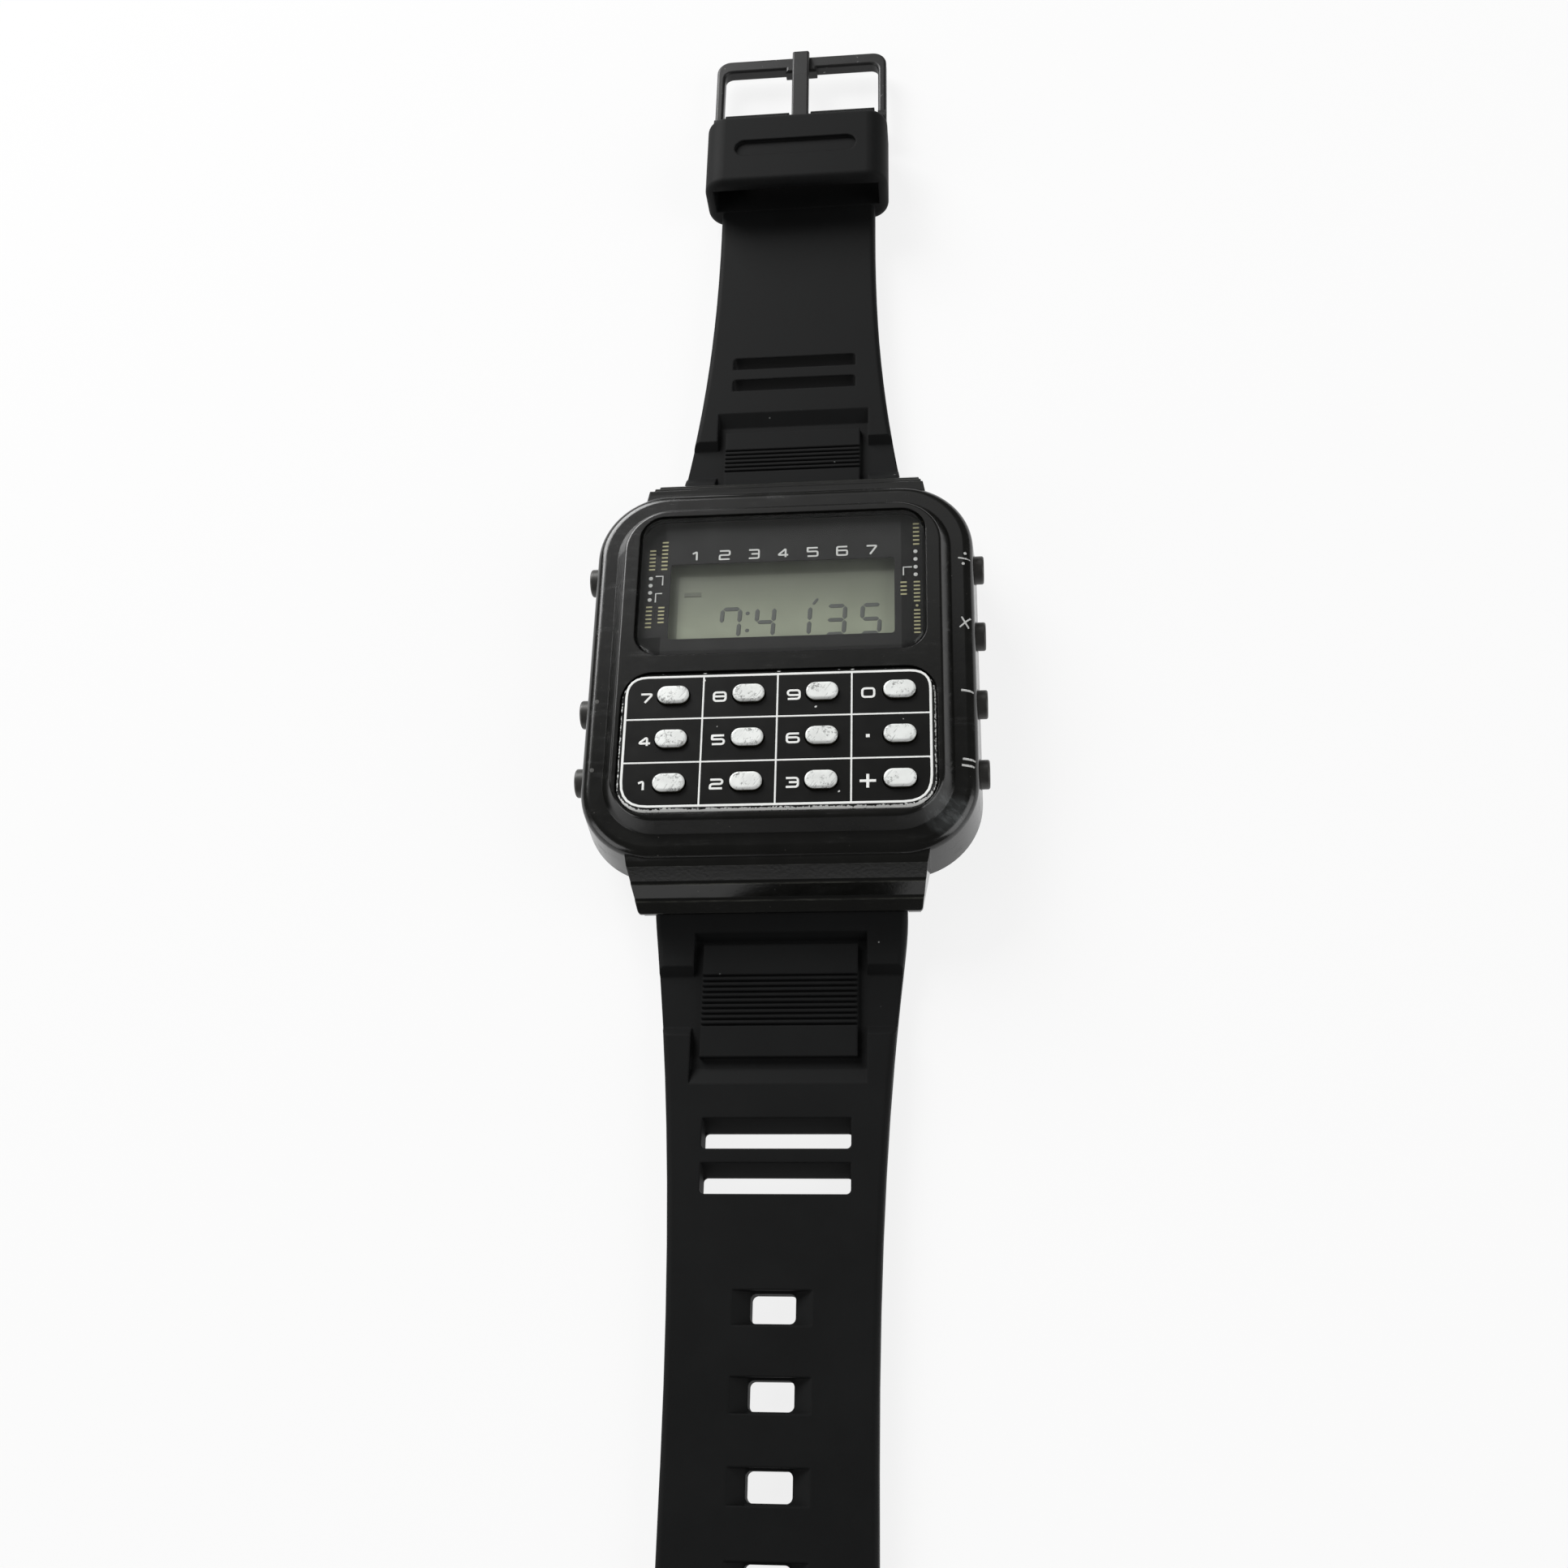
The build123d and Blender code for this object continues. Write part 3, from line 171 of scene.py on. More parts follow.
CAMERA_PLACE = (15.99, -73.94, 145.40)
CAMERA_RIGHT = (0.99457, 0.02176, -0.10176)
CAMERA_UP = (0.02180, 0.91263, 0.40821)
SENSOR_WIDTH = 36.0
SOFTBOXES = (
    ("softbox_main", (-0.44, 0.62, 0.47), 0.48, 1.0),
    ("softbox_right", (0.8, -0.2, 0.42), 0.75, 0.5),
    ("softbox_left", (-0.75, -0.35, 0.36), 0.6, 0.3),
    ("softbox_back", (-0.1, 0.57, 0.665), 0.4, 0.031),
)
ROOM_COLOUR = (1.0, 0.99, 0.97, 1.0)
# how far the floor is lifted towards white where it is seen
FLOOR_GLOW = 0.84


# Shader maths

class Value:
    """A node's output socket that arithmetic can be written on."""

    def __init__(self, graph, socket):
        self.graph = graph
        self.socket = socket

    def math(self, operation, *others):
        return self.graph.math(operation, self, *others)

    def __add__(self, other):
        return self.math("ADD", other)

    def __radd__(self, other):
        return self.math("ADD", other)

    def __sub__(self, other):
        return self.math("SUBTRACT", other)

    def __rsub__(self, other):
        return self.graph.math("SUBTRACT", other, self)

    def __mul__(self, other):
        return self.math("MULTIPLY", other)

    def __rmul__(self, other):
        return self.math("MULTIPLY", other)

    def __truediv__(self, other):
        return self.math("DIVIDE", other)

    def __abs__(self):
        return self.math("ABSOLUTE")

    def at_least(self, other):
        """The larger of the two."""
        return self.math("MAXIMUM", other)

    def at_most(self, other):
        """The smaller of the two."""
        return self.math("MINIMUM", other)

    def root(self):
        return self.math("SQRT")

    def step(self, low, high):
        """0 up to low, 1 from high on, and a smooth rise between them."""
        return self.graph.node(
            "ShaderNodeMapRange",
            {"Value": self, "From Min": low, "From Max": high},
            interpolation_type="SMOOTHSTEP",
        )


class Graph:
    """The nodes of one material, with its place in millimetres ready to read."""

    def __init__(self, name):
        self.material = bpy.data.materials.new(name)
        self.material.use_nodes = True
        self.tree = self.material.node_tree
        self.tree.nodes.clear()
        place = self.node("ShaderNodeTexCoord", output="Object")
        self.place = self.node(
            "ShaderNodeVectorMath", {0: place, "Scale": 1 / MM}, operation="SCALE"
        )
        split = self.node("ShaderNodeSeparateXYZ", {0: self.place}).socket.node
        self.x, self.y, self.z = [Value(self, output) for output in split.outputs]

    def node(self, kind, sockets=None, output=0, **settings):
        """Adds a node with its settings, then its sockets' values or links."""
        node = self.tree.nodes.new(kind)
        for setting, value in settings.items():
            setattr(node, setting, value)
        for socket, value in (sockets or {}).items():
            if isinstance(value, Value):
                self.tree.links.new(value.socket, node.inputs[socket])
            else:
                node.inputs[socket].default_value = value
        return Value(self, node.outputs[output]) if node.outputs else None

    def math(self, operation, *values):
        """Adds a Math node over values and plain numbers."""
        return self.node("ShaderNodeMath", dict(enumerate(values)), operation=operation)

    def stretched(self, x, y, z, angle=0.0):
        """The place, turned by an angle and scaled along each axis, for directed patterns."""
        place = self.place
        if angle:
            place = self.node("ShaderNodeVectorRotate", {"Vector": place, "Angle": angle})
        return self.node("ShaderNodeVectorMath", {0: place, 1: (x, y, z)}, operation="MULTIPLY")

    def noise(self, scale, detail=2.0, roughness=0.5, vector=None):
        """Cloudy values from about 0.2 to 0.8, with so many features to the millimetre."""
        sockets = {
            "Vector": vector or self.place, "Scale": scale, "Detail": detail,
            "Roughness": roughness,
        }
        return self.node("ShaderNodeTexNoise", sockets)

    def cells(self, scale):
        """The distance to the nearest of many scattered points."""
        return self.node("ShaderNodeTexVoronoi", {"Vector": self.place, "Scale": scale})

    def blend(self, factor, first, second):
        """The first colour where factor is 0 and the second where it is 1."""
        return self.node(
            "ShaderNodeMix", {0: factor, 6: first, 7: second}, output=2, data_type="RGBA"
        )

    def rounded_box(self, middle, half, radius):
        """The distance in millimetres inside a rounded rectangle's edge, below 0 outside."""
        reach_x = abs(self.x - middle[0]) - (half[0] - radius)
        reach_y = abs(self.y - middle[1]) - (half[1] - radius)
        outer_x = reach_x.at_least(0.0)
        outer_y = reach_y.at_least(0.0)
        corner = (outer_x * outer_x + outer_y * outer_y).root()
        return radius - corner - reach_x.at_least(reach_y).at_most(0.0)

    def bump(self, height, distance, strength=1.0, normal=None):
        """Turns a height from 0 to 1 into a surface normal. The distance is in millimetres."""
        sockets = {"Height": height, "Distance": distance * MM, "Strength": strength}
        if normal is not None:
            sockets["Normal"] = normal
        return self.node("ShaderNodeBump", sockets)

    def soft_edges(self, radius):
        """A normal that rounds sharp edges by a radius in millimetres."""
        return self.node("ShaderNodeBevel", {"Radius": radius * MM}, samples=4)

    def surface(self, colour, roughness, **more):
        """Ends the material in a Principled shader. Further sockets go by name."""
        sockets = {"Base Color": colour, "Roughness": roughness}
        for name, value in more.items():
            sockets[name.replace("_", " ").title().replace("Ior", "IOR")] = value
        shader = self.node("ShaderNodeBsdfPrincipled", sockets)
        self.node("ShaderNodeOutputMaterial", {"Surface": shader})
        return self.material


def rgba(colour):
    """A colour as a shader's socket takes it, with its alpha."""
    return (*colour, 1.0)


def shade(colour, factor):
    """A colour made darker or lighter by a factor."""
    return rgba([min(1.0, channel * factor) for channel in colour])


def paint(material, *nodes):
    """Gives CAD nodes their material."""
    for node in nodes:
        slots = frame["nodes"][node].material_slots
        if not slots:
            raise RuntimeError(f"{node} has no material slot")
        for slot in slots:
            slot.material = material


# Materials

def gloss_resin(name, colour, wear):
    """Polished black resin with hairline scratches, greasy smears and a little dust."""
    graph = Graph(name)
    haze = graph.noise(0.35, 4.0, 0.6)
    smears = graph.noise(1.0, 5.0, 0.7, graph.stretched(0.22, 0.9, 0.9)).step(0.5, 0.72)
    hairs = graph.noise(1.0, 3.0, 0.6, graph.stretched(9.0, 0.5, 2.0))
    cross_hairs = graph.noise(1.0, 3.0, 0.6, graph.stretched(0.6, 8.0, 2.0))
    scratches = hairs.step(0.66, 0.74).at_least(cross_hairs.step(0.68, 0.76))
    dust = (1.0 - graph.cells(1.1).step(0.03, 0.08)) * graph.noise(0.3).step(0.5, 0.7)
    base = graph.blend(haze.step(0.35, 0.75), shade(colour, 0.85), shade(colour, 1.25))
    base = graph.blend(dust * (0.25 * wear), base, DUST)
    # painted highlight: a pale streaked patch on the shelf's lower right corner
    base = graph.blend(rubbed_corner(graph) * (0.6 * wear), base, CORNER_HIGHLIGHT_COLOUR)
    # painted highlights: pale lines along the edges of the hood's steps
    base = graph.blend(hood_edges(graph) * (0.6 * wear), base, HOOD_HIGHLIGHT_COLOUR)
    roughness = 0.15 + haze * 0.08 + smears * 0.12 + scratches * (0.08 * wear)
    on_hood = (abs(graph.y) - HOOD_START).step(0.0, 0.3)
    roughness = roughness * (1.0 - on_hood * 0.5)
    grain = graph.bump(graph.noise(3.0, 3.0), 0.006, 0.35, graph.soft_edges(0.12))
    normal = graph.bump(scratches, 0.003, 0.3 * wear, grain)
    return graph.surface(base, roughness, normal=normal, ior=1.5)


def rubbed_corner(graph):
    """A pale streaked patch painted on the shelf's lower right corner as a highlight."""
    away_x = (graph.x - CORNER_HIGHLIGHT_MIDDLE[0]) / CORNER_HIGHLIGHT_REACH[0]
    away_y = (graph.y - CORNER_HIGHLIGHT_MIDDLE[1]) / CORNER_HIGHLIGHT_REACH[1]
    near = 1.0 - (away_x * away_x + away_y * away_y).step(0.1, 1.0)
    patches = graph.noise(1.0, 3.0, 0.6, graph.stretched(0.8, 1.9, 1.0, angle=0.75))
    top = (graph.z - SHELF_EDGE).step(0.0, 0.3)
    return near * (0.35 + patches.step(0.45, 0.75) * 0.65) * top


def hood_edges(graph):
    """Dull pale lines painted along the edges of the hood's steps as highlights."""
    reach = abs(graph.y)
    patches = graph.noise(1.0, 4.0, 0.7, graph.stretched(0.5, 4.0, 1.0)).step(0.35, 0.65)
    lines = [1.0 - abs(reach - edge - 0.03).step(0.03, 0.09) for edge in HOOD_EDGES]
    below_dial = 1.0 - (graph.z - HOOD_TOP).step(-0.1, 0.1)
    return reduce(Value.at_least, lines) * (0.25 + patches * 0.75) * below_dial


def strap_resin(name, colour):
    """Soft matte resin: fine moulded grain, shiny where it is rubbed, a few pale specks."""
    graph = Graph(name)
    tone = graph.noise(0.12, 5.0, 0.65)
    grain = graph.noise(7.0, 3.0, 0.6)
    specks = (1.0 - graph.cells(0.55).step(0.035, 0.06)) * graph.noise(0.2).step(0.58, 0.62)
    near_case = 1.0 - (abs(graph.y) - SPECKS_START).step(0.0, SPECKS_FADE)
    base = graph.blend(tone.step(0.3, 0.75), shade(colour, 0.8), shade(colour, 1.2))
    base = graph.blend(specks * near_case * 0.7, base, PALE_SPECK)
    roughness = 0.56 + tone * 0.14 + grain * 0.05
    normal = graph.bump(grain, 0.02, 0.3, graph.soft_edges(0.25))
    return graph.surface(base, roughness, normal=normal, specular_ior_level=0.14)


def keypad_lacquer(name, colour, bare, wear):
    """Black lacquer whose bevelled rim is rubbed bare, most of all along the lower edge."""
    low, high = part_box("keypad_panel")
    middle = [(low[axis] + high[axis]) / 2 / MM for axis in (0, 1)]
    half = [(high[axis] - low[axis]) / 2 / MM for axis in (0, 1)]
    graph = Graph(name)
    inside = graph.rounded_box(middle, half, PLATE_RADIUS)
    patches = graph.noise(0.55, 6.0, 0.7)
    bits = graph.noise(3.5, 4.0, 0.7)
    # a ragged line along the rim, whose reach to both sides is in millimetres
    height = (graph.y - (middle[1] - half[1])) / (2 * half[1])
    base_reach = 0.035 + (1.0 - height.step(0.0, 0.16)) * 0.105 - height.step(0.8, 1.0) * 0.115
    reach = base_reach + (patches - 0.5) * 0.3 + (bits - 0.5) * 0.55
    off_line = abs(inside - 0.08 - (patches - 0.5) * 0.12)
    worn = (reach * wear - off_line).step(-0.02, 0.03)
    # a few chips on the plate, and a spot on the top edge over each column line
    ragged = graph.cells(0.65) + (graph.noise(4.5, 3.0) - 0.5) * 0.16
    chips = (1.0 - ragged.step(0.05, 0.09)) * graph.noise(0.45).step(0.5, 0.56)
    worn = worn.at_least(chips * (0.8 * wear))
    edge = (1.0 - (inside - 0.16).step(0.0, 0.08)) * height.step(0.9, 0.95)
    for column in GRID_COLUMNS:
        spot = 1.0 - abs(graph.x - column - 0.05).step(0.06, 0.2)
        worn = worn.at_least(spot * edge * (0.7 * wear))
    tone = graph.noise(0.5, 4.0)
    base = graph.blend(tone, shade(colour, 0.8), shade(colour, 1.3))
    base = graph.blend(worn, base, rgba(bare))
    roughness = 0.24 + tone * 0.1 + worn * 0.25
    normal = graph.bump(1.0 - worn, 0.02, 0.5, graph.bump(bits, 0.004, 0.3))
    return graph.surface(
        base, roughness, metallic=worn * 0.25, normal=normal, specular_ior_level=0.3
    )


def key_silver(name, colour, wear):
    """Silver lacquer, rubbed grey in patches and scored by fingernails, with painted shade on its
    flanks.
    """
    graph = Graph(name)
    patches = graph.noise(0.75, 6.0, 0.75)
    rub = patches.step(0.5, 0.6)
    scores = graph.noise(1.0, 3.0, 0.6, graph.stretched(5.0, 0.7, 1.0, angle=0.6))
    scores = scores.step(0.6, 0.65)
    marks = rub * graph.noise(3.2, 4.0, 0.8).step(0.44, 0.58)
    marks = marks.at_least(scores * 0.5) * wear
    tone = graph.noise(0.5, 3.0).step(0.35, 0.7)
    base = graph.blend(tone, shade(colour, 1.08), shade(colour, 0.93))
    base = graph.blend(marks, base, shade(colour, 0.28))
    # painted shade: the flanks are painted dark, reaching higher on the side towards 11 o'clock
    faces = graph.node("ShaderNodeTexCoord", output="Normal")
    lean = graph.node(
        "ShaderNodeVectorMath", {0: faces, 1: (-0.6, 0.8, 0.0)}, operation="DOT_PRODUCT",
        output="Value",
    )
    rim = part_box(KEYS[0])[1][2] / MM - 0.14
    side = 1.0 - (graph.z - rim - lean * 0.13).step(-0.05, 0.05)
    base = graph.blend(side, base, KEY_FLANK_SHADE)
    roughness = 0.38 + marks * 0.2 - side * 0.16
    normal = graph.bump(1.0 - marks, 0.012, 0.6, graph.soft_edges(0.08))
    return graph.surface(base, roughness, metallic=0.15, normal=normal)


def clear_cover(name):
    """A clear window that mirrors as glass does and lets the rest through."""
    graph = Graph(name)
    # a faint mirror seen straight on, and nearly a full one at a glance
    facing = graph.node("ShaderNodeLayerWeight", {"Blend": 0.5}, output="Facing")
    mirror = 0.022 + facing * facing * facing * facing * facing * 0.9
    hairs = graph.noise(1.0, 2.0, 0.5, graph.stretched(7.0, 0.35, 1.0)).step(0.71, 0.76)
    film = graph.noise(0.4, 3.0).step(0.4, 0.8)
    alpha = (mirror + hairs * 0.04 + film * 0.01).at_most(1.0)
    roughness = 0.04 + film * 0.05
    return graph.surface((0.9, 0.92, 0.9, 1.0), roughness, metallic=1.0, alpha=alpha)


def display_cell(name, colour):
    """The reflective display: slightly uneven, with painted shade towards the top and a painted
    shadow of the mask along its top and left.
    """
    graph = Graph(name)
    tone = graph.noise(0.22, 4.0, 0.6)
    fibre = graph.noise(6.0, 2.0)
    base = graph.blend(tone.step(0.3, 0.7), shade(colour, 0.92), shade(colour, 1.06))
    base = graph.blend(fibre * 0.1, base, shade(colour, 0.7))
    # a painted shadow of the mask over the display's left and top strips
    right_of_edge = (graph.x - MASK_SHADOW_LEFT).step(-0.05, 0.05)
    below_edge = 1.0 - (graph.y - MASK_SHADOW_TOP).step(-0.05, 0.05)
    # painted shade: darker towards the top of the display
    base = graph.blend(graph.y.step(2.5, 11.0), base, shade(colour, 0.4))
    base = graph.blend((1.0 - right_of_edge * below_edge) * 0.6, base, shade(colour, 0.3))
    return graph.surface(base, 0.42 + fibre * 0.1, ior=1.45)


def ink(name, colour, worn=0.12):
    """Printing ink with a faint uneven edge and tone."""
    graph = Graph(name)
    tone = graph.noise(1.4, 4.0, 0.7)
    thin = graph.noise(5.0, 4.0, 0.7).step(0.6, 0.72)
    base = graph.blend(tone, shade(colour, 0.9), shade(colour, 1.05))
    base = graph.blend(thin * worn, base, shade(colour, 0.35))
    normal = graph.bump(tone, 0.004, 0.3)
    return graph.surface(base, 0.5 + tone * 0.1, normal=normal)


def brushed_metal(name, colour, roughness, along="x"):
    """Metal with fine brush lines along one axis and darker traces of handling."""
    graph = Graph(name)
    scale = {"x": (0.25, 9.0, 9.0), "y": (9.0, 0.25, 9.0), "z": (9.0, 9.0, 0.25)}[along]
    lines = graph.noise(1.0, 3.0, 0.6, graph.stretched(*scale))
    traces = graph.noise(0.3, 5.0, 0.65).step(0.45, 0.75)
    base = graph.blend(lines, shade(colour, 0.85), shade(colour, 1.1))
    base = graph.blend(traces * 0.35, base, shade(colour, 0.6))
    normal = graph.bump(lines, 0.005, 0.4, graph.soft_edges(0.05))
    roughness = roughness + lines * 0.12 + traces * 0.08
    return graph.surface(base, roughness, metallic=1.0, normal=normal)


def dull_black_metal(name, colour, bare, wear):
    """Black plating or enamel, bare and bright in small worn spots."""
    graph = Graph(name)
    spots = graph.noise(1.6, 6.0, 0.75)
    worn = spots.step(0.66, 0.7) * wear
    base = graph.blend(graph.noise(0.7, 3.0), shade(colour, 0.8), shade(colour, 1.25))
    base = graph.blend(worn, base, rgba(bare))
    roughness = 0.34 + spots * 0.14
    normal = graph.bump(1.0 - worn, 0.01, 0.4, graph.soft_edges(0.1))
    return graph.surface(base, roughness, metallic=0.3 + worn * 0.6, normal=normal)


def moulded(name, colour, roughness, grain=3.0, relief=0.01):
    """A plain moulded or cast piece with its own grain and tone."""
    graph = Graph(name)
    tone = graph.noise(0.4, 4.0)
    fine = graph.noise(grain, 3.0, 0.6)
    base = graph.blend(tone.step(0.3, 0.7), shade(colour, 0.85), shade(colour, 1.12))
    normal = graph.bump(fine, relief, 0.35, graph.soft_edges(0.05))
    return graph.surface(base, roughness + fine * 0.1, normal=normal)


def board_laminate(name, colour):
    """A circuit board: woven laminate under lacquer, with copper tracks that show through."""
    graph = Graph(name)
    lanes = graph.node(
        "ShaderNodeTexWave", {"Vector": graph.place, "Scale": 0.28, "Distortion": 3.5},
        bands_direction="DIAGONAL",
    )
    tracks = lanes.step(0.62, 0.7)
    weave = graph.noise(1.0, 2.0, 0.5, graph.stretched(6.0, 2.0, 1.0))
    base = graph.blend(weave, shade(colour, 0.85), shade(colour, 1.15))
    base = graph.blend(tracks, base, COPPER_UNDER_LACQUER)
    return graph.surface(base, 0.4 - tracks * 0.1, normal=graph.bump(tracks, 0.03, 0.6))


# Printed strokes

# each character's paths in a box of 1 by 1, and whether a path is closed
GLYPHS = {
    "0": [([(0, 0), (1, 0), (1, 1), (0, 1)], True)],
    "1": [([(0.2, 0.76), (0.62, 1), (0.62, 0)], False)],
    "2": [([(0, 1), (1, 1), (1, 0.5), (0, 0.5), (0, 0), (1, 0)], False)],
    "3": [([(0, 1), (1, 1), (1, 0), (0, 0)], False), ([(0.25, 0.52), (1, 0.52)], False)],
    "4": [([(0.74, 0), (0.74, 1), (0, 0.27), (1, 0.27)], False)],
    "5": [([(1, 1), (0, 1), (0, 0.56), (1, 0.56), (1, 0), (0, 0)], False)],
    "6": [([(1, 1), (0, 1), (0, 0), (1, 0), (1, 0.56), (0, 0.56)], False)],
    "7": [([(0, 1), (1, 1), (0.34, 0)], False)],
    "8": [([(0, 0), (1, 0), (1, 1), (0, 1)], True), ([(0, 0.53), (1, 0.53)], False)],
    "9": [([(0, 0), (1, 0), (1, 1), (0, 1), (0, 0.44), (1, 0.44)], False)],
    "plus": [([(0, 0.5), (1, 0.5)], False), ([(0.5, 0), (0.5, 1)], False)],
    "times": [([(0, 0), (1, 1)], False), ([(0, 1), (1, 0)], False)],
    "minus": [([(0, 0.5), (1, 0.5)], False)],
    "equals": [([(0, 0), (1, 0)], False), ([(0, 1), (1, 1)], False)],
}
# the corners that stay nearly sharp when a character's others are eased
SHARP = {"2": (4,), "5": (1, 2)}
SHARP_RADIUS = 0.04
CORNER_STEPS = 6
# how far apart the points of a stroke are that follows the case's surface, in millimetres
DRAPE_SPACING = 0.1


def rounded_path(points, radii, closed):
    """The path with each corner eased over its own radius."""
    count = len(points)
    path = []
    for index, point in enumerate(points):
        if not closed and index in (0, count - 1):
            path.append(Vector(point))
            continue
        corner = Vector(point)
        before = Vector(points[index - 1]) - corner
        after = Vector(points[(index + 1) % count]) - corner
        start = corner + before.normalized() * min(radii[index], before.length / 2)
        end = corner + after.normalized() * min(radii[index], after.length / 2)
        for step in range(CORNER_STEPS + 1):
            share = step / CORNER_STEPS
            first = start.lerp(corner, share)
            second = corner.lerp(end, share)
            path.append(first.lerp(second, share))
    return path


def finely(points, spacing):
    """The path with points no further apart than the spacing, so that it can be draped."""
    path = [Vector(points[0])]
    for point in points[1:]:
        start = path[-1].copy()
        steps = max(1, int((Vector(point) - start).length / spacing))
        for step in range(1, steps + 1):
            path.append(start.lerp(Vector(point), step / steps))
    return path


def glyph(name, middle, size, width, radius=0.0, angle=0.0):
    """One character as strokes of a width, turned by an angle about its middle."""
    strokes = []
    turn = Matrix.Rotation(angle, 2)
    sharp = SHARP.get(name, ())
    for outline, closed in GLYPHS[name]:
        path = [
            Vector(middle) + turn @ Vector(((x - 0.5) * size[0], (y - 0.5) * size[1]))
            for x, y in outline
        ]
        if radius:
            radii = [SHARP_RADIUS if at in sharp else radius for at in range(len(path))]
            path = rounded_path(path, radii, closed)
        strokes.append((path, closed, width))
    return strokes


def dot(middle, radius, count=16):
    """A round dot: a stroke round a circle of half its radius."""
    angles = [2 * pi * turn / count for turn in range(count)]
    path = [
        Vector(middle) + Vector((cos(angle), sin(angle))) * radius / 2 for angle in angles
    ]
    return [(path, True, radius)]


def line(points, width):
    """One open stroke through points."""
    return [([Vector(point) for point in points], False, width)]


def segment(start, end, width):
    """A display segment: a bar with pointed ends."""
    start, end = Vector(start), Vector(end)
    point = (end - start).normalized() * width / 2
    path = [start, start + point, end - point, end]
    return [(path, False, [0.15 * width, width, width, 0.15 * width])]


def digit(left, right, letters, height, width):
    """A leaning display digit made of the named ones of its seven segments, a to g."""
    low = DIGIT_BASE
    middle, high = low + height / 2, low + height
    gap = width * 0.14
    runs = {
        "a": ((left + gap, high), (right - gap, high)),
        "b": ((right, high - gap), (right, middle + gap)),
        "c": ((right, middle - gap), (right, low + gap)),
        "d": ((left + gap, low), (right - gap, low)),
        "e": ((left, middle - gap), (left, low + gap)),
        "f": ((left, high - gap), (left, middle + gap)),
        "g": ((left + gap, middle), (right - gap, middle)),
    }
    strokes = []
    for letter in letters:
        start, end = [(x + (y - low) * DIGIT_LEAN, y) for x, y in runs[letter]]
        strokes += segment(start, end, width)
    return strokes


def new_object(name, data):
    """An object of the data, in the scene's own collection."""
    item = bpy.data.objects.new(name, data)
    bpy.context.scene.collection.objects.link(item)
    return item


def beads(name, strokes):
    """A mesh of round beads along strokes, each as thick as its stroke is wide."""
    curve = bpy.data.curves.new(name, "CURVE")
    curve.dimensions = "3D"
    curve.twist_mode = "Z_UP"
    curve.bevel_depth = 0.5
    curve.bevel_resolution = 2
    curve.use_fill_caps = True
    for path, closed, width in strokes:
        spline = curve.splines.new("POLY")
        spline.points.add(len(path) - 1)
        spline.use_cyclic_u = closed
        widths = width if isinstance(width, list) else [width] * len(path)
        for point, spot, radius in zip(spline.points, path, widths):
            point.co = (spot[0], spot[1], 0.0, 1.0)
            point.radius = radius
    rough = new_object(name + "_curve", curve)
    graph = bpy.context.evaluated_depsgraph_get()
    mesh = bpy.data.meshes.new_from_object(rough.evaluated_get(graph))
    bpy.data.objects.remove(rough)
    bpy.data.curves.remove(curve)
    mesh.name = name
    return mesh


def printed(name, strokes, material, relief, height=None):
    """Presses strokes flat into one thin raised print at a height, or over the case's surface.

    The relief is how far a stroke of 1 mm width would stand out, and narrower ones stand out
    less in proportion.
    """
    if height is None:
        strokes = [(finely(path, DRAPE_SPACING), *rest) for path, *rest in strokes]
    mesh = beads(name, strokes)
    for vertex in mesh.vertices:
        x, y = vertex.co.x * MM, vertex.co.y * MM
        base = case_height(x, y, name) if height is None else height * MM
        vertex.co = (x, y, base + vertex.co.z * relief * 2 * MM)
    mesh.materials.clear()
    mesh.materials.append(material)
    for polygon in mesh.polygons:
        polygon.use_smooth = True
    piece = new_object(name, mesh)
    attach(piece, "case")


def case_height(x, y, name):
    """How high the case's surface is at a place, in metres."""
    above = CAD_BOX[1][2] * 2
    hit, spot, _, _ = frame["nodes"]["case_body"].ray_cast((x, y, above), (0.0, 0.0, -1.0))
    if not hit:
        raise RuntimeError(f"{name} hangs over the edge of the case")
    return spot.z


# Settings

def colour_property(name, description, default):
    """A colour with its name and description."""
    return FloatVectorProperty(
        name=name, description=description, default=default, size=3, subtype="COLOR",
        min=0.0, max=1.0,
    )


def size_property(name, description, millimetres):
    """A length whose default is given in millimetres."""
    return FloatProperty(
        name=name, description=description, default=millimetres * MM, min=0.0, unit="LENGTH",
        precision=5,
    )


class WatchLook(bpy.types.PropertyGroup):
    """Colours and wear."""

    case: colour_property("Case", "Polished resin of the case", (0.0046, 0.0047, 0.0041))
    strap: colour_property("Strap", "Matte resin of the strap", (0.0052, 0.0055, 0.0056))
    lacquer: colour_property("Keypad", "Lacquer of the keypad plate", (0.0045, 0.0045, 0.0042))
    keys: colour_property("Keys", "Silver of the key caps", (0.86, 0.88, 0.86))
    white: colour_property("White print", "Printed grid and numerals", (0.93, 0.94, 0.92))
    legend: colour_property("Legends", "Yellowish ticks beside the window", (0.42, 0.4, 0.22))
    week: colour_property("Numeral row", "Numerals above the window", (0.62, 0.63, 0.61))
    display: colour_property("Display", "Background of the display", (0.285, 0.315, 0.23))
    segments: colour_property("Segments", "Dark segments of the display", (0.07, 0.078, 0.07))
    # the wear also sets how strongly the painted highlights on the shelf's corner and the hood's
    # steps show
    wear: FloatProperty(
        name="Wear", description="How far the finish is worn", default=1.0, min=0.0, max=1.0,
        subtype="FACTOR",
    )


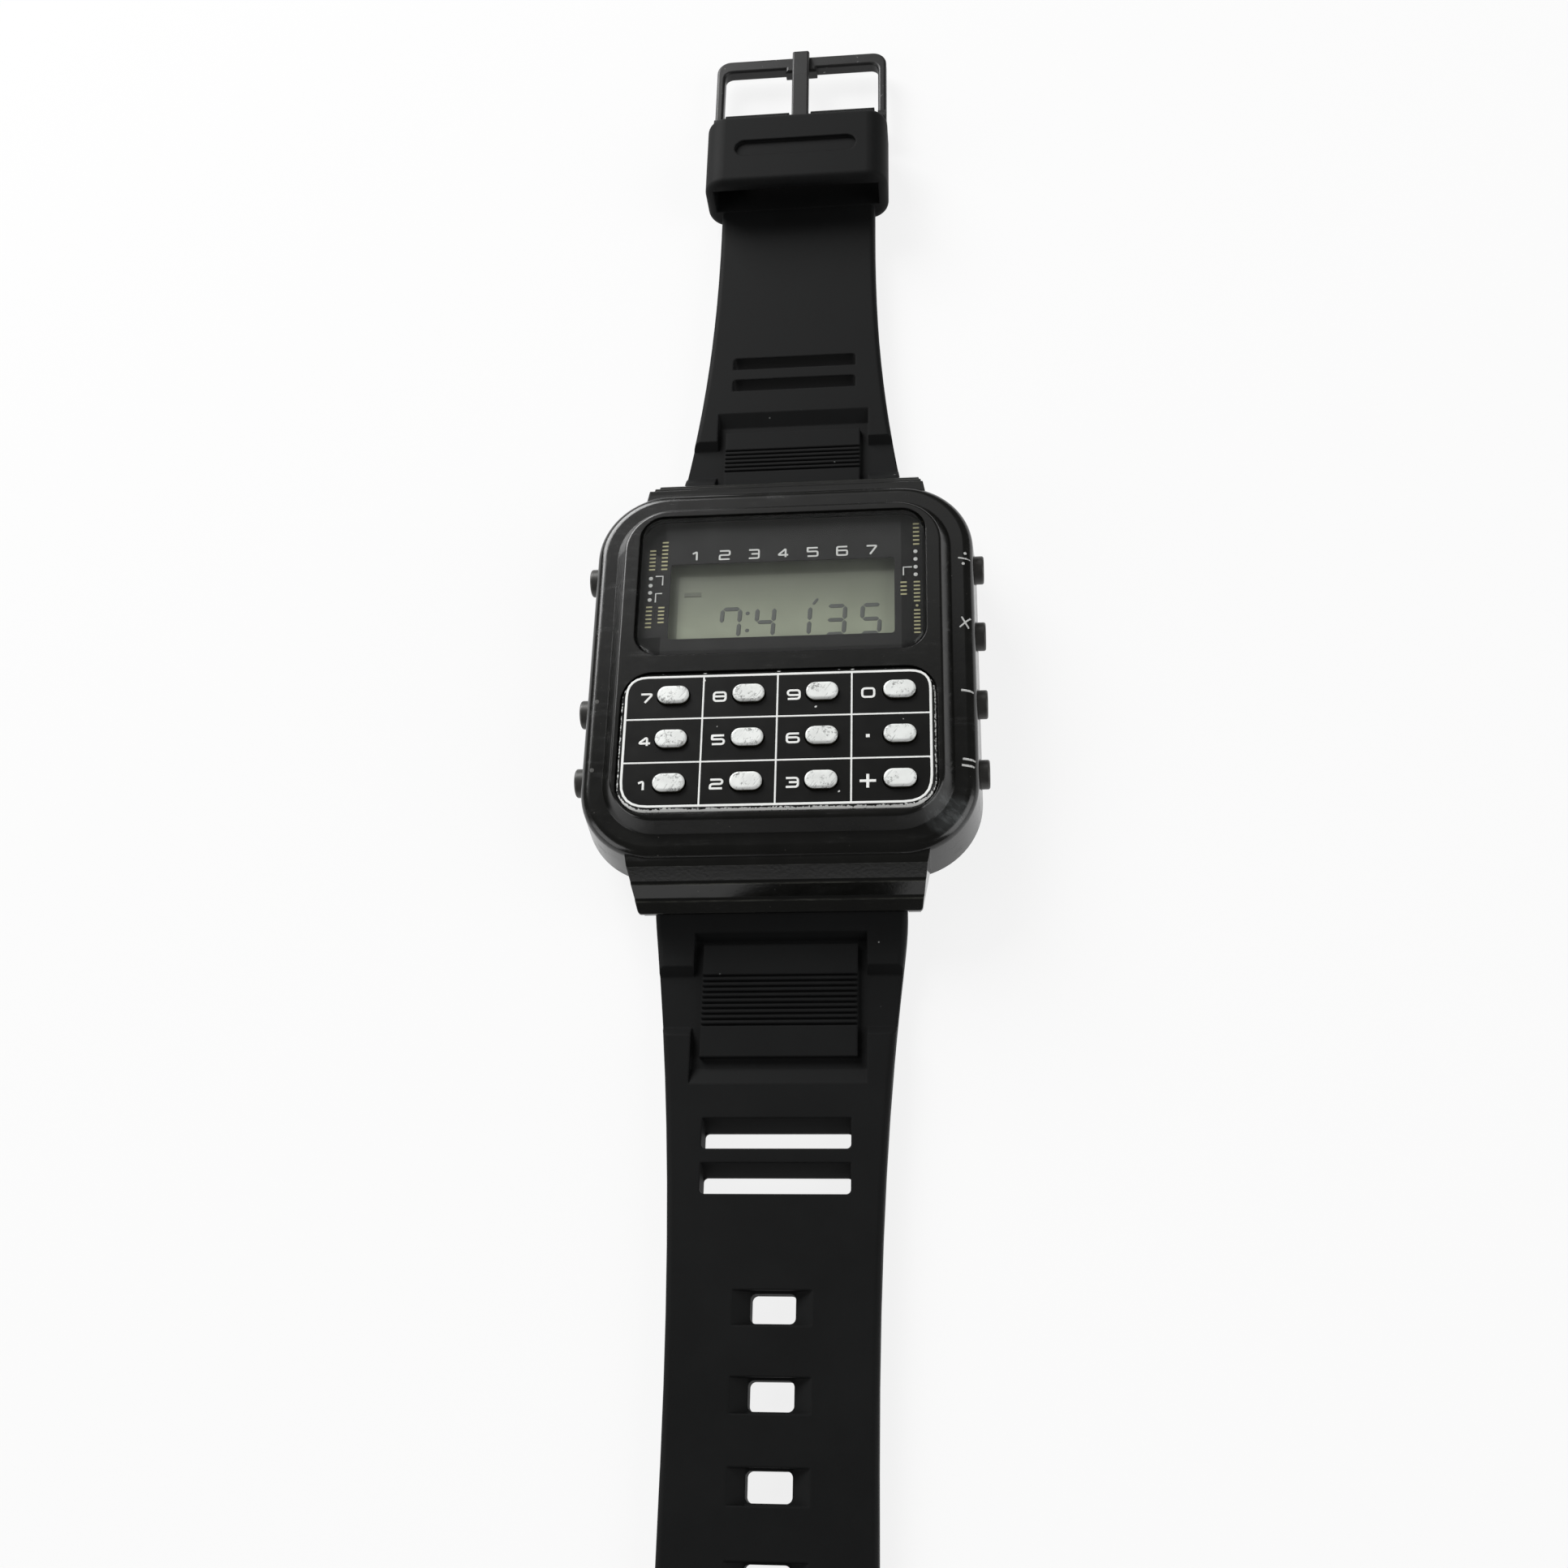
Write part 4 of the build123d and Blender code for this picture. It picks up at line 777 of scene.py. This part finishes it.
class WatchPrint(bpy.types.PropertyGroup):
    """Sizes of the printing."""

    frame_inset: size_property("Frame inset", "From the keypad's edge to its frame line", 0.46)
    frame_line: size_property("Frame line", "Width of the keypad's frame line", 0.23)
    grid_line: size_property("Grid line", "Width of the keypad's grid lines", 0.16)
    label_width: size_property("Label width", "Width of a key's numeral", 1.08)
    label_height: size_property("Label height", "Height of a key's numeral", 0.86)
    label_stroke: size_property("Label stroke", "Stroke of a key's numeral", 0.215)
    week_width: size_property("Row width", "Width of a numeral above the window", 0.96)
    week_height: size_property("Row height", "Height of a numeral above the window", 0.92)
    week_stroke: size_property("Row stroke", "Stroke of a numeral above the window", 0.18)
    tick_length: size_property("Tick length", "Length of a tick beside the window", 0.58)
    tick_pitch: size_property("Tick pitch", "From one tick to the next", 0.42)
    tick_stroke: size_property("Tick stroke", "Stroke of a tick beside the window", 0.17)
    digit_height: size_property("Digit height", "Height of a display digit", 3.0)
    digit_stroke: size_property("Digit stroke", "Width of a display segment", 0.42)
    shelf_stroke: size_property("Shelf stroke", "Stroke of the marks on the shelf", 0.17)


class WatchStage(bpy.types.PropertyGroup):
    """Camera, floor and lights."""

    focal_length: FloatProperty(
        name="Focal length", description="Lens of the camera, in millimetres", default=38.63,
        min=1.0, unit="CAMERA",
    )
    floor: colour_property("Floor", "Plain pale floor", (0.86, 0.86, 0.86))
    floor_size: FloatProperty(
        name="Floor size", description="Length of the floor's sides", default=6.0, min=0.1,
        unit="LENGTH",
    )
    sky: FloatProperty(
        name="Room light", description="Strength of the light from all round", default=0.12,
        min=0.0,
    )
    key_power: FloatProperty(
        name="Main light", description="Power of the largest softbox", default=8.2, min=0.0,
        unit="POWER",
    )
    show_floor: BoolProperty(name="Show floor", description="Keeps the floor", default=True)


def print_sizes(context):
    """The sizes of the printing in millimetres, by name."""
    group = context.scene.watch_print
    names = WatchPrint.__annotations__
    return SimpleNamespace(**{name: getattr(group, name) / MM for name in names})


# Operators

class WATCH_OT_case(bpy.types.Operator):
    """Finish the case, its back and its screws"""

    bl_idname = "watch.case"
    bl_label = "Case"

    def execute(self, context):
        look = context.scene.watch_look
        paint(gloss_resin("case_resin_gloss", look.case, look.wear), "case_body")
        paint(brushed_metal("back_steel_brushed", (0.5, 0.5, 0.49), 0.28), "case_back")
        turned = brushed_metal("screw_steel_turned", (0.45, 0.45, 0.45), 0.3, along="y")
        paint(turned, "case_back_screws")
        return {"FINISHED"}


class WATCH_OT_window(bpy.types.Operator):
    """Finish the crystal and the printed mask behind it"""

    bl_idname = "watch.window"
    bl_label = "Window"

    def execute(self, context):
        look = context.scene.watch_look
        sizes = print_sizes(context)
        paint(clear_cover("crystal_clear"), "display_crystal")
        paint(moulded("mask_black", (0.004, 0.004, 0.0037), 0.7, relief=0.0001), "crystal_mask")
        paint(moulded("seal_black", RUBBER, 0.7), "crystal_seal")
        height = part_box("crystal_mask")[1][2] / MM
        row = []
        size = (sizes.week_width, sizes.week_height)
        for number, middle in enumerate(NUMERAL_ROW, 1):
            row += glyph(str(number), middle, size, sizes.week_stroke, NUMERAL_EASE)
        self.print_mask("week_numerals", row, ink("ink_week", look.week), height)
        dots = []
        for middle in SIDE_DOTS:
            dots += dot(middle, SIDE_DOT_RADIUS)
        for hook in SIDE_HOOKS:
            dots += line(hook, HOOK_STROKE)
        self.print_mask("side_dots", dots, ink("ink_white_dim", look.week), height)
        ticks = []
        half = sizes.tick_length / 2
        for x, low, high in TICK_ROWS:
            count = round((high - low) / sizes.tick_pitch)
            for tick in range(count):
                y = low + (tick + 0.5) * (high - low) / count
                ticks += line(((x - half, y), (x + half, y)), sizes.tick_stroke)
        ticks += dot(TICK_DOT, TICK_DOT_RADIUS)
        self.print_mask("side_bars", ticks, ink("ink_legend", look.legend), height)
        return {"FINISHED"}

    def print_mask(self, name, strokes, material, height):
        """Prints strokes on the mask."""
        printed(name, strokes, material, relief=0.01, height=height)


class WATCH_OT_display(bpy.types.Operator):
    """Finish the display and draw its digits"""

    bl_idname = "watch.display"
    bl_label = "Display"

    def execute(self, context):
        look = context.scene.watch_look
        sizes = print_sizes(context)
        paint(display_cell("display_reflective", look.display), "lcd_glass")
        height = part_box("lcd_glass")[1][2] / MM
        dark = []
        for left, right, letters in DIGITS:
            dark += digit(left, right, letters, sizes.digit_height, sizes.digit_stroke)
        for middle in COLON:
            dark += dot(middle, COLON_RADIUS)
        dark += segment(*SECONDS_MARK, SECONDS_STROKE)
        black = ink("ink_segments", look.segments, worn=0.0)
        printed("display_digits", dark, black, relief=0.006, height=height)
        flag = line(FLAG, FLAG_STROKE)
        grey = ink("ink_flag", [channel * FLAG_SHARE for channel in look.display], worn=0.0)
        printed("display_flag", flag, grey, relief=0.004, height=height)
        return {"FINISHED"}


class WATCH_OT_keypad(bpy.types.Operator):
    """Finish the keypad plate and print its grid and numerals"""

    bl_idname = "watch.keypad"
    bl_label = "Keypad"

    def execute(self, context):
        look = context.scene.watch_look
        sizes = print_sizes(context)
        lacquer = keypad_lacquer("keypad_lacquer", look.lacquer, BARE_PLATE, look.wear)
        paint(lacquer, "keypad_panel")
        low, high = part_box("keypad_panel")
        left, right = low[0] / MM + sizes.frame_inset, high[0] / MM - sizes.frame_inset
        bottom, top = low[1] / MM + sizes.frame_inset, high[1] / MM - sizes.frame_inset
        corners = [(left, bottom), (right, bottom), (right, top), (left, top)]
        strokes = [(rounded_path(corners, FRAME_RADII, True), True, sizes.frame_line)]
        for x in GRID_COLUMNS:
            strokes += line(((x, bottom), (x, top)), sizes.grid_line)
        for y in GRID_ROWS:
            strokes += line(((left, y), (right, y)), sizes.grid_line)
        size = (sizes.label_width, sizes.label_height)
        for y, names in LABEL_ROWS:
            for x, name in zip(LABEL_COLUMNS, names):
                strokes += glyph(name, (x, y), size, sizes.label_stroke, LABEL_EASE)
        strokes += glyph("plus", PLUS_MIDDLE, PLUS_SIZE, sizes.label_stroke * PLUS_STROKE_SHARE)
        strokes += line(POINT, POINT_STROKE)
        white = ink("ink_white", look.white)
        height = high[2] / MM
        printed("keypad_print", strokes, white, relief=0.03, height=height)
        return {"FINISHED"}


class WATCH_OT_keys(bpy.types.Operator):
    """Finish the twelve key caps and the mat below them"""

    bl_idname = "watch.keys"
    bl_label = "Keys"

    def execute(self, context):
        look = context.scene.watch_look
        paint(key_silver("key_silver", look.keys, look.wear), *KEYS)
        paint(moulded("mat_silicone", (0.5, 0.5, 0.47), 0.45), "key_mat")
        return {"FINISHED"}


class WATCH_OT_shelf_marks(bpy.types.Operator):
    """Draw the arithmetic marks on the shelf, over its rounded edge"""

    bl_idname = "watch.shelf_marks"
    bl_label = "Shelf Marks"

    def execute(self, context):
        look = context.scene.watch_look
        stroke = print_sizes(context).shelf_stroke
        signs = glyph("minus", DIVIDE_BAR, DIVIDE_BAR_SIZE, stroke, angle=SHELF_SIGN_TURN)
        for middle in DIVIDE_DOTS:
            signs += dot(middle, DIVIDE_DOT_RADIUS)
        for name, middle, size, share in SHELF_SIGNS:
            signs += glyph(name, middle, size, stroke * share, angle=SHELF_SIGN_TURN)
        pale = ink("ink_shelf", [channel * SHELF_INK_SHARE for channel in look.white], 0.5)
        printed("shelf_marks_right", signs, pale, relief=0.02)
        dots = []
        for middle in LEFT_SHELF_DOTS:
            dots += dot(middle, LEFT_SHELF_DOT_RADIUS)
        faint = ink("ink_shelf_faint", (0.06, 0.06, 0.055), 0.4)
        printed("shelf_marks_left", dots, faint, relief=0.02)
        return {"FINISHED"}


class WATCH_OT_pushers(bpy.types.Operator):
    """Finish the side pushers with their seals and springs"""

    bl_idname = "watch.pushers"
    bl_label = "Side Pushers"

    def execute(self, context):
        wear = context.scene.watch_look.wear
        dark = dull_black_metal("pusher_dark", (0.06, 0.059, 0.056), (0.4, 0.39, 0.37), wear)
        paint(dark, *PUSHERS)
        wire = brushed_metal("spring_wire", (0.45, 0.45, 0.44), 0.35)
        paint(wire, *SPRINGS)
        for name in SPRINGS:
            self.add_coil(name, wire)
        paint(moulded("pusher_seal_rubber", RUBBER, 0.6), "pusher_seals")
        return {"FINISHED"}

    def add_coil(self, name, material):
        """Stands in for a spring's node with a copy of its coil, attached to the case."""
        mesh = frame["nodes"][name].data.copy()
        mesh.name = name + "_coil"
        wire = bmesh.new()
        wire.from_mesh(mesh)
        bmesh.ops.remove_doubles(wire, verts=wire.verts, dist=0.001 * MM)
        wire.to_mesh(mesh)
        wire.free()
        mesh.materials.clear()
        mesh.materials.append(material)
        coil = new_object(name + "_coil", mesh)
        low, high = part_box(name)
        press = name.replace("spring", "pusher") + "_press"
        travel = next(row["range_m"][1] for row in frame["joints"] if row["name"] == press)
        keep = 1.0 - travel / (high[0] - low[0])
        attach(coil, "case")
        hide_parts(name)
        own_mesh(coil)


class WATCH_OT_strap(bpy.types.Operator):
    """Finish the strap halves and their spring bars"""

    bl_idname = "watch.strap"
    bl_label = "Strap"

    def execute(self, context):
        look = context.scene.watch_look
        paint(strap_resin("strap_resin_matte", look.strap), "strap_buckle_side", "strap_hole_side")
        steel = brushed_metal("bar_steel_turned", STEEL, 0.3)
        paint(steel, "spring_bar_upper", "spring_bar_lower")
        return {"FINISHED"}


class WATCH_OT_buckle(bpy.types.Operator):
    """Finish the buckle, its tongue and its bar"""

    bl_idname = "watch.buckle"
    bl_label = "Buckle"

    def execute(self, context):
        wear = context.scene.watch_look.wear
        black = dull_black_metal("buckle_enamel", (0.014, 0.014, 0.014), (0.42, 0.41, 0.4), wear)
        paint(black, "buckle_frame", "buckle_tongue")
        paint(brushed_metal("buckle_bar_steel", STEEL, 0.3), "buckle_bar")
        return {"FINISHED"}


class WATCH_OT_movement(bpy.types.Operator):
    """Finish the pieces inside the case"""

    bl_idname = "watch.movement"
    bl_label = "Movement"

    def execute(self, context):
        paint(moulded("module_ivory", (0.55, 0.54, 0.47), 0.45), "module_frame", "battery_holder")
        paint(board_laminate("board_tracks", (0.12, 0.16, 0.04)), "circuit_board")
        paint(moulded("chip_black", (0.02, 0.02, 0.02), 0.3), "ic_chip")
        paint(moulded("zebra_grey", (0.12, 0.11, 0.11), 0.6, grain=6.0), "zebra_strips")
        paint(moulded("trimmer_brown", (0.3, 0.12, 0.05), 0.35), "trimmer_capacitor")
        paint(moulded("gasket_black", RUBBER, 0.6), "case_gasket")
        paint(moulded("lamp_bulb", (0.8, 0.75, 0.6), 0.15), "lamp")
        paint(brushed_metal("reflector_satin", (0.6, 0.62, 0.55), 0.4), "lcd_reflector")
        paint(brushed_metal("can_drawn", (0.65, 0.65, 0.66), 0.2), "quartz_crystal")
        paint(brushed_metal("cell_plated", (0.68, 0.68, 0.66), 0.25), "battery")
        paint(brushed_metal("clamp_spring", (0.5, 0.5, 0.48), 0.3), "battery_clamp")
        brass = brushed_metal("contact_brass_bare", (0.7, 0.5, 0.2), 0.3, along="z")
        paint(brass, "button_contacts")
        return {"FINISHED"}


class WATCH_OT_stage(bpy.types.Operator):
    """Set up the floor, the lights and the camera at the photograph's angle"""

    bl_idname = "watch.stage"
    bl_label = "Stage"

    def execute(self, context):
        stage = context.scene.watch_stage
        if stage.show_floor:
            self.add_floor(stage)
        world = bpy.data.worlds.new("studio")
        world.use_nodes = True
        background = world.node_tree.nodes["Background"]
        background.inputs["Color"].default_value = ROOM_COLOUR
        background.inputs["Strength"].default_value = stage.sky
        context.scene.world = world
        for name, place, size, share in SOFTBOXES:
            self.add_softbox(name, place, size, stage.key_power * share)
        context.scene.camera = self.add_camera(stage.focal_length)
        return {"FINISHED"}

    def add_camera(self, focal_length):
        """The camera at the photograph's place, turned as it was."""
        data = bpy.data.cameras.new("camera")
        data.lens = focal_length
        data.sensor_width = SENSOR_WIDTH
        data.clip_start = 5 * MM
        camera = new_object("camera", data)
        right, up = Vector(CAMERA_RIGHT), Vector(CAMERA_UP)
        turn = Matrix((right, up, right.cross(up))).transposed().to_4x4()
        camera.matrix_world = Matrix.Translation(Vector(CAMERA_PLACE) * MM) @ turn
        return camera

    def add_floor(self, stage):
        """A pale floor below the watch."""
        graph = Graph("floor_paint")
        tone = graph.noise(0.02, 3.0)
        base = graph.blend(tone, shade(stage.floor, 0.99), shade(stage.floor, 1.01))
        material = graph.surface(base, 0.8)
        self.brighten(graph)
        mesh = bpy.data.meshes.new("floor")
        plane = bmesh.new()
        bmesh.ops.create_grid(plane, x_segments=1, y_segments=1, size=stage.floor_size / 2)
        plane.to_mesh(mesh)
        plane.free()
        mesh.materials.append(material)
        new_object("floor", mesh)

    def brighten(self, graph):
        """Lifts the floor towards white where it is seen, also in metal and through glass."""
        tree = graph.tree
        output = next(node for node in tree.nodes if node.bl_idname == "ShaderNodeOutputMaterial")
        lit = Value(graph, output.inputs["Surface"].links[0].from_socket)
        path = graph.node("ShaderNodeLightPath").socket.node.outputs
        seen = Value(graph, path["Is Camera Ray"])
        seen = seen.at_least(Value(graph, path["Is Glossy Ray"]))
        seen = seen.at_least(Value(graph, path["Is Transmission Ray"]))
        white = {"Color": (1.0, 1.0, 1.0, 1.0), "Strength": 1.0}
        glow = graph.node("ShaderNodeEmission", white)
        mixed = graph.node("ShaderNodeMixShader", {0: seen * FLOOR_GLOW, 1: lit, 2: glow})
        tree.links.new(mixed.socket, output.inputs["Surface"])

    def add_softbox(self, name, place, size, power):
        """A square light that faces the watch."""
        data = bpy.data.lights.new(name, "AREA")
        data.size = size
        data.energy = power
        light = new_object(name, data)
        light.location = place
        light.rotation_euler = (-Vector(place)).to_track_quat("-Z", "Y").to_euler()


OPERATORS = (
    WATCH_OT_stage, WATCH_OT_case, WATCH_OT_window, WATCH_OT_display, WATCH_OT_keypad,
    WATCH_OT_keys, WATCH_OT_shelf_marks, WATCH_OT_pushers, WATCH_OT_strap, WATCH_OT_buckle,
    WATCH_OT_movement,
)


class WATCH_PT_panel(bpy.types.Panel):
    """Lists the watch's operators"""

    bl_idname = "WATCH_PT_panel"
    bl_label = "Calculator Watch"
    bl_space_type = "VIEW_3D"
    bl_region_type = "UI"
    bl_category = "Watch"

    def draw(self, context):
        scene = context.scene
        for group in (scene.watch_look, scene.watch_print, scene.watch_stage):
            for name in group.__annotations__:
                self.layout.prop(group, name)
        for operator in OPERATORS:
            self.layout.operator(operator.bl_idname)


CLASSES = (WatchLook, WatchPrint, WatchStage, *OPERATORS, WATCH_PT_panel)


def register():
    """Registers the classes and hangs the settings on the scene."""
    for item in CLASSES:
        bpy.utils.register_class(item)
    bpy.types.Scene.watch_look = PointerProperty(type=WatchLook)
    bpy.types.Scene.watch_print = PointerProperty(type=WatchPrint)
    bpy.types.Scene.watch_stage = PointerProperty(type=WatchStage)


def unregister():
    """Takes away what register added."""
    del bpy.types.Scene.watch_stage
    del bpy.types.Scene.watch_print
    del bpy.types.Scene.watch_look
    for item in reversed(CLASSES):
        bpy.utils.unregister_class(item)


def main():
    register()
    bpy.context.scene.view_settings.view_transform = "Standard"
    for operator in OPERATORS:
        group, name = operator.bl_idname.split(".")
        getattr(getattr(bpy.ops, group), name)()


if __name__ == "__main__":
    main()
